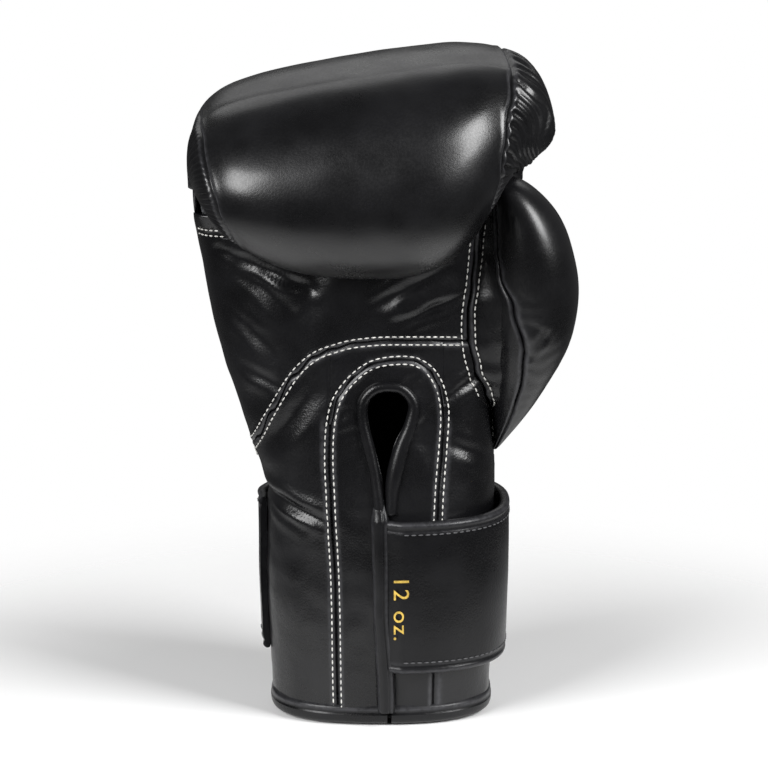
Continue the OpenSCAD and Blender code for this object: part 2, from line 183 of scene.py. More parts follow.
def through(points, t):
    """A smooth curve through points of (position, values...), read at a position."""
    if t <= points[0][0]:
        return points[0][1:]
    for a, b in zip(points, points[1:]):
        if t <= b[0]:
            k = ease((t - a[0]) / (b[0] - a[0]))
            return tuple(mix(p, q, k) for p, q in zip(a[1:], b[1:]))
    return points[-1][1:]


def path_lengths(points):
    total = [0.0]
    for a, b in zip(points, points[1:]):
        total.append(total[-1] + (Vector(b) - Vector(a)).length)
    return total


def along(points, total, s):
    """The point at length s along a polyline."""
    s = max(0.0, min(total[-1], s))
    low, high = 0, len(total) - 1
    while high - low > 1:
        mid = (low + high) // 2
        if total[mid] <= s:
            low = mid
        else:
            high = mid
    span = max(total[high] - total[low], 1e-9)
    return Vector(points[low]).lerp(Vector(points[high]), (s - total[low]) / span)


def smooth_path(points, n):
    """Points evenly spaced along a rounded run through the given corners."""
    dense = []
    count = len(points)
    for i in range(count - 1):
        p0 = Vector(points[max(i - 1, 0)])
        p1, p2 = Vector(points[i]), Vector(points[i + 1])
        p3 = Vector(points[min(i + 2, count - 1)])
        for k in range(24):
            t = k / 24
            dense.append(
                0.5 * (2 * p1 + (p2 - p0) * t + (2 * p0 - 5 * p1 + 4 * p2 - p3) * t * t
                       + (3 * p1 - p0 - 3 * p2 + p3) * t**3)
            )
    dense.append(Vector(points[-1]))
    total = path_lengths(dense)
    return [along(dense, total, total[-1] * i / (n - 1)) for i in range(n)]


def ripple(x, y, z, scale, seed=0.0):
    return noise.noise(Vector((x / scale + seed, y / scale - seed, z / scale)))


# ---- The glove's form -------------------------------------------------------


class Form:
    """The glove's surfaces, in millimetres. Depth is measured under the outer leather."""

    slope, slope_x = 0.17, 40
    curl_end = 268
    taper = 5
    in_left, in_right = 19, 27
    side_n = 2.5
    hand_n, top_n, end_n = (3.2, 2.6), (6.0, 3.0), (2.4, 2.1)
    thumb_low, thumb_high = -4, -24
    pull = 0.92

    def __init__(self, s):
        for name in s.__annotations__:
            value = getattr(s, name)
            setattr(self, name, value / MM if isinstance(value, float) else value)
        lo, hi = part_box("thumb_outer_panel")
        self.thumb_top = hi.z / MM + self.tip_lift
        lo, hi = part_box("thumb_inner_panel")
        self.thumb_root = lo.z / MM - 2
        lo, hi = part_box("front_strap_binding")
        self.strap_low, self.strap_top = lo.z / MM, hi.z / MM
        lo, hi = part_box("hem_binding")
        self.hem_h = hi.z / MM
        self.know_l = self.fist_left - 1
        self.know_r = self.fist_right - 9

    # Share of the way up the hand, and round the roll
    def hand(self, u):
        return clamp((self.curl_z + u - self.cuff_h) / (self.curl_z - self.cuff_h))

    def round(self, u):
        return clamp((u - 90) / (266 - 90))

    def left(self, u):
        if u < 0:
            return mix(self.cuff_half_w, self.know_l, sin(pi / 2 * self.hand(u)))
        return mix(self.know_l, self.fist_left, sin(radians(min(u, 90)))) - (
            self.in_left * self.round(u) ** 2
        )

    def right(self, u):
        if u < 0:
            return mix(self.cuff_half_w, self.know_r, self.hand(u) ** 3)
        return mix(self.know_r, self.fist_right, sin(radians(2 * min(u, 45)))) - (
            self.in_right * (1 - (1 - self.round(u)) ** 2)
        )

    def back_reach(self, u):
        if u < 0:
            span = self.knuckle_reach - self.curl_y - self.cuff_half_d
            return self.curl_y + self.cuff_half_d + span * sin(pi / 2 * self.hand(u))
        if u < 90:
            return self.roll_r + (self.knuckle_reach - self.roll_r) * cos(radians(u)) ** 2
        return self.roll_r - self.taper * self.round(u) ** 2

    def seam(self, u, core=1.5):
        if u < 0:
            return mix(self.curl_y, core, ease(u / 45 + 1))
        return core

    def palm_reach(self, u):
        return self.cuff_half_d - 4 * sin(pi / 2 * min(1, 2.5 * self.hand(u)))

    def squareness(self, u, side):
        if u < 0:
            return mix(self.side_n, self.hand_n[side], self.hand(u))
        if u < 90:
            return mix(self.hand_n[side], self.top_n[side], sin(radians(u)))
        return mix(self.top_n[side], self.end_n[side], self.round(u) ** 0.7)

    def back_wall(self, u):
        return mix(self.wall, self.fist_wall, ease((self.curl_z + min(u, 0) - self.cuff_h) / 90))

    def edge_wall(self, u):
        return mix(self.wall, 16, ease((self.curl_z + min(u, 0) - self.cuff_h - 60) / 80))

    def lean(self, x, y, z):
        tilt = ease((z - self.curl_z + 35) / 90)
        return x, y, z + self.slope * (x - self.slope_x) * tilt

    def slim(self, x, y, z):
        """The cuff draws in a little towards its mouth."""
        k = 1 - 0.045 * (1 - ease(z / 62))
        return x * k, y * k, z

    # A swollen level section of the thumb: centre x and y, half width and half depth
    def bud(self, z):
        t = (z - self.thumb_root) / (self.thumb_top - self.thumb_root)
        if t < 0.58:
            return sin(pi / 2 * max(0.0, t) / 0.58), t
        return sqrt(max(0.0, 1 - ((t - 0.58) / 0.42) ** 2)), t

    def thumb_oval(self, z, grow=0.0):
        b, t = self.bud(z)
        hw = max(0.3, self.thumb_half_w * b + grow)
        hd = max(0.4, self.thumb_half_d * b**0.8 + grow)
        cx = self.thumb_x - self.thumb_half_w * (1 - b) * self.pull
        return cx, mix(self.thumb_low, self.thumb_high, t), hw, hd

    def press(self, p, gap=1.6):
        """Pushes a point of the hand clear of the thumb that lies against it."""
        x, y, z = p
        if x < 35 or z < self.thumb_root - 4 or z > self.thumb_top + 24:
            return p
        cx, cy, hw, hd = self.thumb_oval(min(z, self.thumb_top - 9), gap)
        fade = 1 - ease((z - self.thumb_top + 6) / 30)
        q = clamp(1 - abs((y - cy) / hd) ** 2.2)
        if q <= 0:
            return p
        wall = cx - hw * q**0.45
        d, k = x - wall, 3.0
        if d > k:
            d = 0
        elif d > -k:
            d = -((d - k) ** 2) / (4 * k)
        return mix(x, wall + d, fade), y, z

    def back(self, u, a, w=0.0, r=None, core=1.5):
        """Back of the hand and the roll; w is the depth at the sides and r at the back."""
        r = w if r is None else r
        side = 1 if a < 90 else 0
        c, s = unit_oval(a, self.squareness(u, side))
        x = ((self.right(u) if side else self.left(u)) - w) * c
        seam = self.seam(u, core)
        d = seam + (self.back_reach(u) - r - seam) * s
        if u < 0:
            p = self.lean(x, d - self.curl_y, self.curl_z + u)
        else:
            t = radians(u)
            p = self.lean(x, d * cos(t) - self.curl_y, self.curl_z + d * sin(t))
        return self.slim(*p)

    def palm(self, x, z, depth=0.0):
        """Palm side at a level and a distance across; a negative depth stands proud."""
        u = z - self.curl_z
        for _ in range(3):
            level = self.curl_z + u
            u = z - self.curl_z - (self.lean(x, 0, level)[2] - level)
        k = self.slim(1, 0, z)[0]
        side = 1 if x > 0 else 0
        reach = (self.right(u) if x > 0 else self.left(u)) - depth
        n = self.squareness(u, side)
        c = min(1.0, abs(x / k) / max(reach, 1))
        s = (1 - c**n) ** (1 / n)
        seam = self.seam(u) - self.curl_y
        return Vector((x, (seam - (self.palm_reach(u) - depth + seam) * s) * k, z))

    def palm_edge(self, z, side):
        """Distance across to the seam between palm and back."""
        u = z - self.curl_z
        return (self.right(u) if side > 0 else -self.left(u)) * self.slim(1, 0, z)[0]

    def cuff(self, angle, z, proud=0.0):
        """A point of the round cuff at an angle from the thumb side, towards the back."""
        c, s = unit_oval(angle, self.side_n)
        w, d = self.cuff_half_w + proud, self.cuff_half_d + proud
        return Vector(self.slim(w * c, d * s, z))

    def angle_at(self, x):
        """The cuff's angle at a distance across its palm side."""
        c = min(0.999, abs(x) / self.cuff_half_w)
        turn = degrees(atan2(c, (1 - c**self.side_n) ** (1 / self.side_n)))
        return 270 + (turn if x > 0 else -turn)


def form():
    return Form(bpy.context.scene.glove_sizes)


# ---- Meshes -----------------------------------------------------------------


def new_object(name, bm, materials, body, smooth=True):
    bm.normal_update()
    mesh = bpy.data.meshes.new(name)
    bm.to_mesh(mesh)
    bm.free()
    obj = bpy.data.objects.new(name, mesh)
    bpy.context.scene.collection.objects.link(obj)
    for m in materials:
        mesh.materials.append(m)
    if smooth:
        mesh.shade_smooth()
    if body:
        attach(obj, body)
    return obj


def warped_grid(rows, cols, place, closed=False, relief=None, inside=None):
    """A grid whose two sides run from 0 to 1, moved to place(across, up).

    relief(across, up, point) gives how far the surface stands out there, and how much rubbed wear and
    painted edge highlight it has.
    """
    bm = bmesh.new()
    uv = bm.loops.layers.uv.new("Map")
    bmesh.ops.create_grid(bm, x_segments=cols, y_segments=rows, size=0.5)
    # Per-vertex mask of rubbed wear and of the painted highlight along seams and edges.
    wear_and_highlight = bm.verts.layers.float.new("Wear")
    span = [(clamp(v.co.x + 0.5), clamp(v.co.y + 0.5)) for v in bm.verts]
    bm.verts.index_update()
    for f in bm.faces:
        for loop in f.loops:
            loop[uv].uv = span[loop.vert.index]
    for v, (s, t) in zip(bm.verts, span):
        v.co = Vector(place(s, t)) * MM
    if inside is not None:
        face_out(bm, Vector(inside) * MM)
    if relief:
        bm.normal_update()
        heights = [relief(s, t, v.co / MM) for v, (s, t) in zip(bm.verts, span)]
        for v, (h, worn_and_highlight) in zip(bm.verts, heights):
            v.co += v.normal * h * MM
            v[wear_and_highlight] = worn_and_highlight
    if closed:
        bmesh.ops.remove_doubles(bm, verts=bm.verts, dist=2e-6)
    return bm


def face_out(bm, inside):
    """Turns an open sheet's faces away from a point inside the object."""
    bm.normal_update()
    votes = sum(f.normal.dot(f.calc_center_median() - inside) * f.calc_area() for f in bm.faces)
    if votes < 0:
        bmesh.ops.reverse_faces(bm, faces=bm.faces)


def thicken(bm, thickness):
    """Gives an open sheet a second face behind it and closes the rim."""
    front = list(bm.faces)
    rim = [e for e in bm.edges if e.is_boundary]
    normals = {v: v.normal.copy() for v in bm.verts}
    made = bmesh.ops.duplicate(bm, geom=bm.verts[:] + bm.edges[:] + bm.faces[:])
    pair = made["vert_map"]
    for v, n in normals.items():
        pair[v].co = v.co - n * thickness
    edges = made["edge_map"]
    bmesh.ops.reverse_faces(bm, faces=[f for f in made["geom"] if isinstance(f, bmesh.types.BMFace)])
    bmesh.ops.bridge_loops(bm, edges=rim + [edges[e] for e in rim])
    return front


def sheet_piece(name, grid, place, thickness, materials, body, inside=(0, 0, 150), relief=None):
    bm = warped_grid(grid[0], grid[1], place, relief=relief, inside=inside)
    bm.normal_update()
    thicken(bm, thickness * MM)
    return new_object(name, bm, materials, body)


def loft(name, grid, ring, materials, body, inside, relief=None):
    """A closed body from level rings; ring(turn, up) gives the point."""
    bm = warped_grid(grid[0], grid[1], ring, closed=True, relief=relief, inside=inside)
    rim = [e for e in bm.edges if e.is_boundary]
    for e in rim:
        e.smooth = False
    if rim:
        bmesh.ops.holes_fill(bm, edges=rim)
    bmesh.ops.recalc_face_normals(bm, faces=bm.faces)
    return new_object(name, bm, materials, body)


def tube(points, radius, sides=10, closed_ends=True):
    """A bmesh round cord along points in millimetres."""
    n = len(points)
    frames = []
    up = None
    for i, p in enumerate(points):
        ahead = (Vector(points[min(i + 1, n - 1)]) - Vector(points[max(i - 1, 0)])).normalized()
        if up is None:
            up = ahead.orthogonal().normalized()
        up = (up - ahead * up.dot(ahead)).normalized()
        frames.append((Vector(p), up.copy(), ahead.cross(up)))

    def place(s, t):
        i = min(int(round(t * (n - 1))), n - 1)
        p, a, b = frames[i]
        r = radius(i / (n - 1)) if callable(radius) else radius
        return p + (a * cos(2 * pi * s) + b * sin(2 * pi * s)) * r

    bm = warped_grid(n - 1, sides, place, closed=True)
    if closed_ends:
        bmesh.ops.holes_fill(bm, edges=[e for e in bm.edges if e.is_boundary])
    bmesh.ops.recalc_face_normals(bm, faces=bm.faces)
    return bm


def join(parts):
    """One bmesh holding all the given ones."""
    whole = bmesh.new()
    for part in parts:
        mesh = bpy.data.meshes.new("part")
        part.to_mesh(mesh)
        part.free()
        whole.from_mesh(mesh)
        bpy.data.meshes.remove(mesh)
    return whole


def stitches(paths, pitch, radius, normal_at):
    """Thread capsules laid end to end along paths of points in millimetres."""
    bm = bmesh.new()
    for path in paths:
        total = path_lengths(path)
        count = max(1, int(total[-1] / pitch))
        step = total[-1] / count
        for i in range(count):
            a = along(path, total, (i + 0.14) * step)
            b = along(path, total, (i + 0.86) * step)
            out = normal_at((a + b) / 2)
            run = (b - a).normalized()
            side = run.cross(out).normalized()
            out = side.cross(run)
            turn = Matrix((side, run, out)).transposed().to_4x4()
            place = Matrix.Translation(((a + b) / 2 + out * radius * 0.35) * MM) @ turn
            shape = Matrix.Diagonal((radius * MM, (b - a).length / 2 * MM, radius * 0.9 * MM, 1))
            bmesh.ops.create_uvsphere(
                bm, u_segments=6, v_segments=5, radius=1,
                matrix=place @ shape @ Matrix.Rotation(pi / 2, 4, "X"),
            )
    return bm


# ---- Materials --------------------------------------------------------------


class Socket:
    """A shader output that takes part in sums."""

    def __init__(self, nodes, out):
        self.nodes, self.out = nodes, out

    def _sum(self, kind, a, b=None):
        return self.nodes.math(kind, a, b)

    def __add__(self, o):
        return self._sum("ADD", self, o)

    __radd__ = __add__

    def __sub__(self, o):
        return self._sum("SUBTRACT", self, o)

    def __rsub__(self, o):
        return self._sum("SUBTRACT", o, self)

    def __mul__(self, o):
        return self._sum("MULTIPLY", self, o)

    __rmul__ = __mul__

    def __truediv__(self, o):
        return self._sum("DIVIDE", self, o)

    def __rtruediv__(self, o):
        return self._sum("DIVIDE", o, self)

    def __pow__(self, o):
        return self._sum("POWER", self, o)


class Nodes:
    """A material's node tree with one way to add a node."""

    def __init__(self, name):
        self.material = bpy.data.materials.get(name) or bpy.data.materials.new(name)
        self.material.use_nodes = True
        self.tree = self.material.node_tree
        self.tree.nodes.clear()

    def add(self, kind, settings=None, links=None):
        node = self.tree.nodes.new(kind)
        for key, value in (settings or {}).items():
            setattr(node, key, value)
        for key, value in (links or {}).items():
            if isinstance(value, Socket):
                self.tree.links.new(value.out, node.inputs[key])
            else:
                node.inputs[key].default_value = value
        return node

    def out(self, node, key=0):
        return Socket(self, node.outputs[key])

    def math(self, kind, a, b=None, clamped=False):
        links = {0: a} if b is None else {0: a, 1: b}
        return self.out(self.add("ShaderNodeMath", {"operation": kind, "use_clamp": clamped}, links))

    def point(self):
        return self.out(self.add("ShaderNodeTexCoord"), "Object")

    def noise(self, where, scale, detail=2.0, rough=0.5):
        links = {"Vector": where, "Scale": scale, "Detail": detail, "Roughness": rough}
        return self.out(self.add("ShaderNodeTexNoise", None, links), 0)

    def cells(self, where, scale, feature="F1"):
        links = {"Vector": where, "Scale": scale}
        return self.out(self.add("ShaderNodeTexVoronoi", {"feature": feature}, links), 0)

    def step(self, value, low, high, a=0.0, b=1.0):
        links = {"Value": value, "From Min": low, "From Max": high, "To Min": a, "To Max": b}
        settings = {"interpolation_type": "SMOOTHSTEP"}
        return self.out(self.add("ShaderNodeMapRange", settings, links), 0)

    def blend(self, fac, a, b):
        links = {"Factor": fac, 6: a, 7: b}
        return self.out(self.add("ShaderNodeMix", {"data_type": "RGBA"}, links), 2)

    def attribute(self, name):
        return self.out(self.add("ShaderNodeAttribute", {"attribute_name": name}), "Fac")

    def bump(self, height, distance, strength=1.0, normal=None):
        links = {"Height": height, "Distance": distance, "Strength": strength}
        if normal:
            links["Normal"] = normal
        return self.out(self.add("ShaderNodeBump", None, links), 0)

    def surface(self, **links):
        """Ends the material in a Principled BSDF; names use _ for a space."""
        links = {key.replace("_", " "): value for key, value in links.items()}
        bsdf = self.add("ShaderNodeBsdfPrincipled", None, links)
        out = self.add("ShaderNodeOutputMaterial")
        self.tree.links.new(bsdf.outputs[0], out.inputs[0])
        return self.material


def rgba(c, k=1.0):
    return (c[0] * k, c[1] * k, c[2] * k, 1.0)


def looks():
    return bpy.context.scene.glove_looks


def leather(name, grain=1.0, soft=0.0, gloss=0.30, shine=0.5):
    """Black finished leather: fine grain, shallow wrinkles, rubbed edges lightened with a painted highlight.
    """
    n, c = Nodes(name), looks()
    where = n.point()
    cloud = n.noise(where, 34.0, 3.0)
    fine = n.noise(where, 900.0, 2.0)
    pores = n.cells(where, 1150.0)
    wrinkle = n.noise(where, 150.0, 4.0, 0.62)
    fold = n.math("ABSOLUTE", n.noise(where, 46.0, 3.0, 0.55) - 0.5)
    # The edge mask lightens the colour: rubbed wear together with a painted highlight along seams and edges.
    worn_and_highlight = n.attribute("Wear")
    rub_and_highlight = n.math("MULTIPLY", worn_and_highlight, n.step(n.noise(where, 420.0, 3.0), 0.32, 0.62, 0.45, 1.0), True)
    base = n.blend(n.step(cloud, 0.3, 0.7), rgba(c.leather, 0.8), rgba(c.leather, 1.5))
    base = n.blend(rub_and_highlight, base, rgba(c.worn_and_highlight))
    height = pores * (0.5 * grain) + fine * (0.35 * grain) + wrinkle * (0.5 * grain)
    normal = n.bump(height, 0.00013)
    if soft:
        normal = n.bump(fold, 0.0016 * soft, 0.7, normal)
    rough = n.step(cloud, 0.25, 0.75, gloss - 0.05, gloss + 0.07) + rub_and_highlight * 0.15
    rough = rough + n.step(fine, 0.3, 0.7, -0.03, 0.03)
    return n.surface(
        Base_Color=base, Roughness=rough, Normal=normal, Specular_IOR_Level=shine,
        Coat_Weight=0.20, Coat_Roughness=0.24,
    )


def thread(name, tint):
    """Twisted waxed thread."""
    n = Nodes(name)
    where = n.point()
    twist = n.math("SINE", n.noise(where, 700.0, 1.0) * 40.0)
    shade = n.step(n.noise(where, 260.0, 2.0), 0.3, 0.7, 0.0, 1.0)
    base = n.blend(shade, rgba(tint, 0.78), rgba(tint))
    return n.surface(Base_Color=base, Roughness=0.62, Normal=n.bump(twist, 0.00008))


def cloth(name, tint, pitch=0.0009):
    """Plain woven cloth, with the weave across two axes."""
    n = Nodes(name)
    xyz = n.add("ShaderNodeSeparateXYZ", None, {0: n.point()})
    x, y, z = (n.out(xyz, i) for i in range(3))
    turn = 2 * pi / pitch
    weave = n.math("SINE", (x + y) * turn) * n.math("SINE", z * turn)
    cloud = n.noise(n.point(), 60.0, 3.0)
    shade = n.step(weave + cloud, -0.4, 1.4)
    base = n.blend(shade, rgba(tint, 0.55), rgba(tint, 1.6))
    return n.surface(
        Base_Color=base, Roughness=n.step(cloud, 0.2, 0.8, 0.82, 0.95),
        Normal=n.bump(weave, 0.0002), Sheen_Weight=0.25,
    )


def pile(name, tint):
    """The fuzzy or hooked face of a touch fastener."""
    n = Nodes(name)
    hooks = n.cells(n.point(), 1500.0)
    cloud = n.noise(n.point(), 240.0, 4.0)
    base = n.blend(n.step(hooks + cloud, 0.5, 1.3), rgba(tint, 2.2), rgba(tint, 0.5))
    return n.surface(
        Base_Color=base, Roughness=n.step(cloud, 0.2, 0.8, 0.86, 0.98),
        Normal=n.bump(hooks + cloud * 0.6, 0.0007), Sheen_Weight=0.4,
    )


def foam(name, tint):
    """Closed-cell padding."""
    n = Nodes(name)
    pores = n.cells(n.point(), 900.0)
    cloud = n.noise(n.point(), 40.0, 3.0)
    base = n.blend(n.step(pores + cloud, 0.3, 1.2), rgba(tint, 0.6), rgba(tint, 1.25))
    return n.surface(
        Base_Color=base, Roughness=n.step(cloud, 0.2, 0.8, 0.8, 0.94),
        Normal=n.bump(pores, 0.0003),
    )


def gilding(name, tint):
    """Gold foil print, thin and slightly broken by the grain."""
    n = Nodes(name)
    grain = n.noise(n.point(), 1100.0, 3.0)
    cloud = n.noise(n.point(), 180.0, 2.0)
    base = n.blend(n.step(grain + cloud, 0.75, 1.15), rgba(tint, 0.7), rgba(tint, 1.1))
    return n.surface(
        Base_Color=base, Roughness=n.step(cloud, 0.2, 0.8, 0.36, 0.5), Metallic=0.35,
        Normal=n.bump(grain, 0.00008),
    )


def ribbon(name):
    """Cream brocade with a gold lattice and lilac rosettes, laid on the piece's own map."""
    n, c = Nodes(name), looks()
    uv = n.out(n.add("ShaderNodeUVMap", {"uv_map": "Map"}))
    xyz = n.add("ShaderNodeSeparateXYZ", None, {0: uv})
    u, v = n.out(xyz, 0) * 5.0, n.out(xyz, 1) * 4.0

    def off_centre(value, shift):
        return n.math("FRACT", value + shift) - 0.5

    def ray(a, b):
        return n.math("SQRT", a * a + b * b)

    a, b = off_centre(u, 0.0), off_centre(v, 0.0)
    lattice = n.math("ABSOLUTE", n.math("ABSOLUTE", a) + n.math("ABSOLUTE", b) - 0.5)
    turn = n.math("ARCTAN2", b, a)
    petals = ray(a, b) - 0.13 - n.math("SINE", turn * 8.0) * 0.05
    a2, b2 = off_centre(u, 0.5), off_centre(v, 0.5)
    turn2 = n.math("ARCTAN2", b2, a2)
    sprig = n.math("ABSOLUTE", ray(a2, b2) - 0.2 - n.math("SINE", turn2 * 5.0) * 0.07)
    floss = n.noise(n.point(), 800.0, 2.0)
    base = n.blend(n.step(floss, 0.3, 0.7), rgba(c.ground, 0.8), rgba(c.ground))
    base = n.blend(n.step(lattice, 0.075, 0.045), base, rgba(c.gold, 1.25))
    base = n.blend(n.step(sprig, 0.05, 0.025), base, rgba(c.gold))
    base = n.blend(n.step(petals, 0.03, 0.0), base, rgba(c.lilac))
    base = n.blend(n.step(ray(a, b), 0.06, 0.045), base, rgba(c.gold, 1.3))
    weft = n.math("SINE", n.out(xyz, 1) * 520.0) + n.math("SINE", n.out(xyz, 0) * 420.0) * 0.5
    raised = n.step(lattice, 0.08, 0.05) + n.step(petals, 0.03, 0.0)
    return n.surface(
        Base_Color=base, Roughness=n.step(floss, 0.2, 0.8, 0.42, 0.62),
        Normal=n.bump(weft * 0.4 + raised, 0.00022), Sheen_Weight=0.2,
    )


def shelf(name):
    """The materials by name, made when first asked for."""
    made = bpy.data.materials.get(name)
    if made:
        return made
    c = looks()
    makers = {
        "fist_leather": lambda: leather(name, 0.35, 0.0, 0.31, 0.45),
        "palm_leather": lambda: leather(name, 0.8, 0.55, 0.28, 0.32),
        "strap_leather": lambda: leather(name, 0.9, 0.3, 0.30, 0.18),
        "binding_leather": lambda: leather(name, 1.0, 0.0, 0.32, 0.22),
        "white_thread": lambda: thread(name, c.thread),
        "grey_thread": lambda: thread(name, c.dark_thread),
        "lining_cloth": lambda: cloth(name, c.lining),
        "padding_foam": lambda: foam(name, c.foam),
        "hook_pile": lambda: pile(name, c.lining),
        "gold_print": lambda: gilding(name, c.gilt),
        "brocade": lambda: ribbon(name),
    }
    return makers[name]()


# ---- Seam lines seen from the palm, as (x, z) -------------------------------

ARC = (
    (-60, 114), (-54.6, 127), (-48, 141), (-38, 158.5), (-29.5, 167), (-21.5, 170.8),
    (-11, 173.6), (5, 174.8), (20, 174.4), (33, 173.4), (44, 171.5),
)
WEB = (
    (43, 236), (41, 214), (39.5, 198), (37.8, 186), (38, 173), (40.6, 160), (45.5, 147),
    (50, 138),
)
FACING = (
    (-19.2, 6), (-20.2, 60), (-22, 100), (-22.9, 120), (-22.2, 136), (-19.2, 148.5),
    (-12, 158), (-3.8, 164), (6.4, 166), (14.8, 165.4), (21.6, 160.6), (25.7, 153),
    (27.9, 142), (27.3, 128), (25.2, 102), (23.6, 60), (23, 6),
)
SLIT = (
    (3.0, 6), (3.0, 60), (2.2, 94), (1.0, 110), (-0.6, 118), (-3.4, 129), (-5.7, 139),
    (-5.4, 146.5), (-1, 151.2), (3.8, 152.2), (8.8, 150.6), (12, 145), (10, 137), (6, 129),
    (3.2, 118), (2.4, 110), (3.0, 94), (4.2, 60), (4.2, 6),
)
PIPING = (
    (-0.6, 97), (-1.9, 108), (-3.4, 118), (-6.0, 129), (-8.2, 139), (-7.8, 147.2),
    (-3.2, 152.6), (3.4, 154.0), (9.8, 152.4), (14.3, 146), (12.9, 137), (9.4, 128),
    (6.7, 118), (4.9, 108), (4.6, 97),
)
FOLDS = (
    ((-70, 214), (-30, 197), 2.0, 1.7),
    ((-62, 206), (-38, 186), 2.8, 1.2),
    ((-66, 186), (-46, 168), 3.0, 1.1),
    ((-60, 160), (-44, 152), 2.4, 0.9),
    ((-54, 103), (-24, 93), 2.4, 1.9),
    ((-50, 97), (-34, 88), 1.8, 0.8),
    ((-30, 212), (-36, 176), 5.5, 1.5),
    ((8, 182), (36, 194), 2.2, 1.3),
    ((-4, 190), (30, 207), 2.6, 1.3),
    ((30, 148), (45, 158), 1.8, 1.1),
    ((30, 128), (46, 118), 2.6, 0.9),
    ((-48, 126), (-30, 152), 4.0, 1.3),
)


def level_of(line, x):
    """Height of a seam line at a distance across; its points rise in x."""
    return through([(p[0], p[1]) for p in line], x)[0]


def place_of(line, z):
    """Distance across of a seam line at a height; its points fall in z."""
    return through([(-p[1], p[0]) for p in line], -z)[0]


def crease(p, a, b, width, depth):
    """Height of a fold pressed in along a line of (x, z), with a soft lip on each side."""
    ax, az = b[0] - a[0], b[1] - a[1]
    t = clamp(((p.x - a[0]) * ax + (p.z - a[1]) * az) / (ax * ax + az * az))
    bend = 1.6 * noise.noise(Vector((p.x / 11, p.z / 11, a[0])))
    d = hypot(p.x - a[0] - ax * t, p.z - a[1] - az * t) + bend
    return depth * (0.6 * bell(d - 2 * width, width * 1.2) - bell(d, width)) * sin(pi * (0.12 + 0.76 * t))


def edge_dip(d, width=1.1, depth=0.9):
    """A leather edge turned in at a seam, d from it: the height, and the wear with a painted highlight on
    the lip beside it.
    """
    return -depth * bell(d, width) + 0.3 * bell(d - 2.2, 1.4), 0.8 * bell(d - 1.7, 0.8)


# ---- Shell of the fist ------------------------------------------------------


def rim_share(u, right):
    """Share of the reach at which the fist's rim seam runs."""
    if right:
        line = ((-40, 0.62), (0, 0.62), (90, 0.76), (120, 0.83), (150, 0.885), (180, 0.93), (268, 0.95))
    else:
        line = ((-40, 0.955), (90, 0.95), (120, 0.93), (180, 0.9), (220, 0.87), (268, 0.84))
    return through(line, u)[0]


def rim_angle(f, u, right):
    n, c = f.squareness(u, 1 if right else 0), rim_share(u, right)
    a = degrees(atan2((1 - c**n) ** (1 / n), c))
    return a if right else 180 - a


def rim_there(u, right):
    return ease((u - 10) / 40) if right else ease((u - 50) / 35)


class Shell:
    """Where the fist's leather runs, by the grid's two shares."""

    low, straight = 5.0, 0.40

    def __init__(self, f):
        self.f = f

    def station(self, t):
        f = self.f
        if t < self.straight:
            return mix(self.low - f.curl_z, 0, t / self.straight)
        return f.curl_end * (t - self.straight) / (1 - self.straight)

    def turn(self, s, u):
        right, left = rim_angle(self.f, u, True), rim_angle(self.f, u, False)
        if s < 0.25:
            return right * (1 - (1 - s * 4) ** 1.5)
        if s > 0.75:
            return mix(left, 180, (s * 4 - 3) ** 1.5)
        k = s * 2 - 0.5
        return mix(right, left, mix(k, ease(k), 0.7))

    def place(self, s, t):
        f, u = self.f, self.station(t)
        tuck = 13 * ease((t - 0.955) / 0.045)
        depth = tuck + 1.4 * ease((t - 0.93) / 0.03)
        return f.press(f.back(u, self.turn(s, u), depth, depth))

    def relief(self, s, t, p):
        f, u = self.f, self.station(t)
        a = self.turn(s, u)
        h = 0.55 * ripple(p.x, p.y, p.z, 34) + 0.22 * ripple(p.x, p.y, p.z, 13, 4.0)
        worn_and_highlight = 0.0
        reach = hypot(f.back_reach(u) * sin(radians(a)), f.left(u) * cos(radians(a)))
        run = u if u < 0 else radians(u) * 72
        for right in (True, False):
            there = rim_there(u, right)
            if there <= 0:
                continue
            d = radians(a - rim_angle(f, u, right)) * reach * (1 if right else -1)
            h -= there * 1.15 * bell(d, 0.85)
            h += there * 0.5 * (bell(d - 2.0, 1.3) + bell(d + 2.0, 1.3))
            # Rubbed wear and a painted highlight on the leather either side of the rim seam.
            worn_and_highlight = max(worn_and_highlight, 0.85 * there * bell(d - 1.5, 0.7), 0.5 * there * bell(d + 1.6, 0.7))
            if d < 0:
                inward = -d
                if right:
                    window = ease((u + 40) / 30) * (1 - ease((u - 205) / 40))
                    size, pitch = f.pleat_h * 1.9, 12.0
                else:
                    window = ease((u - 45) / 40)
                    size, pitch = f.pleat_h * 1.1, 7.5
                warp = 1.7 * ripple(p.x, p.y, p.z, 17, 9.0)
                phase = run / pitch + warp * (0.25 + inward / 40)
                ridge = abs(sin(pi * phase)) ** 0.7 - 0.6
                fade = ease(inward / 5) * exp(-inward / 32)
                uneven = 0.75 + 0.6 * ripple(run, 0, 40 * right, 16, 2.0)
                h += size * window * there * fade * ridge * uneven * 1.7
                h += 0.8 * there * ease(inward / 14)
        return h, worn_and_highlight


class GLOVE_OT_fist(bpy.types.Operator):
    """Adds the leather of the back, the knuckles and the rolled fist"""

    bl_idname = "glove.fist"
    bl_label = "Fist Leather"

    def execute(self, context):
        f = form()
        shell = Shell(f)
        skin = [shelf("fist_leather")]
        obj = sheet_piece(
            "Fist_Leather", (310, 132), shell.place, f.skin, skin, "glove", relief=shell.relief
        )
        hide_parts("main_shell")
        return {"FINISHED"}


# ---- Palm panels ------------------------------------------------------------


def polar_share(f, x, z):
    """Polar angle of a point of the palm a distance across, from the thumb side."""
    u = z - f.curl_z
    side = 1 if x > 0 else 0
    reach = (f.right(u) if side else f.left(u)) * f.slim(1, 0, z)[0]
    n, c = f.squareness(u, side), min(0.99999, abs(x) / reach)
    a = degrees(atan2((1 - c**n) ** (1 / n), c))
    return a if side else 180 - a


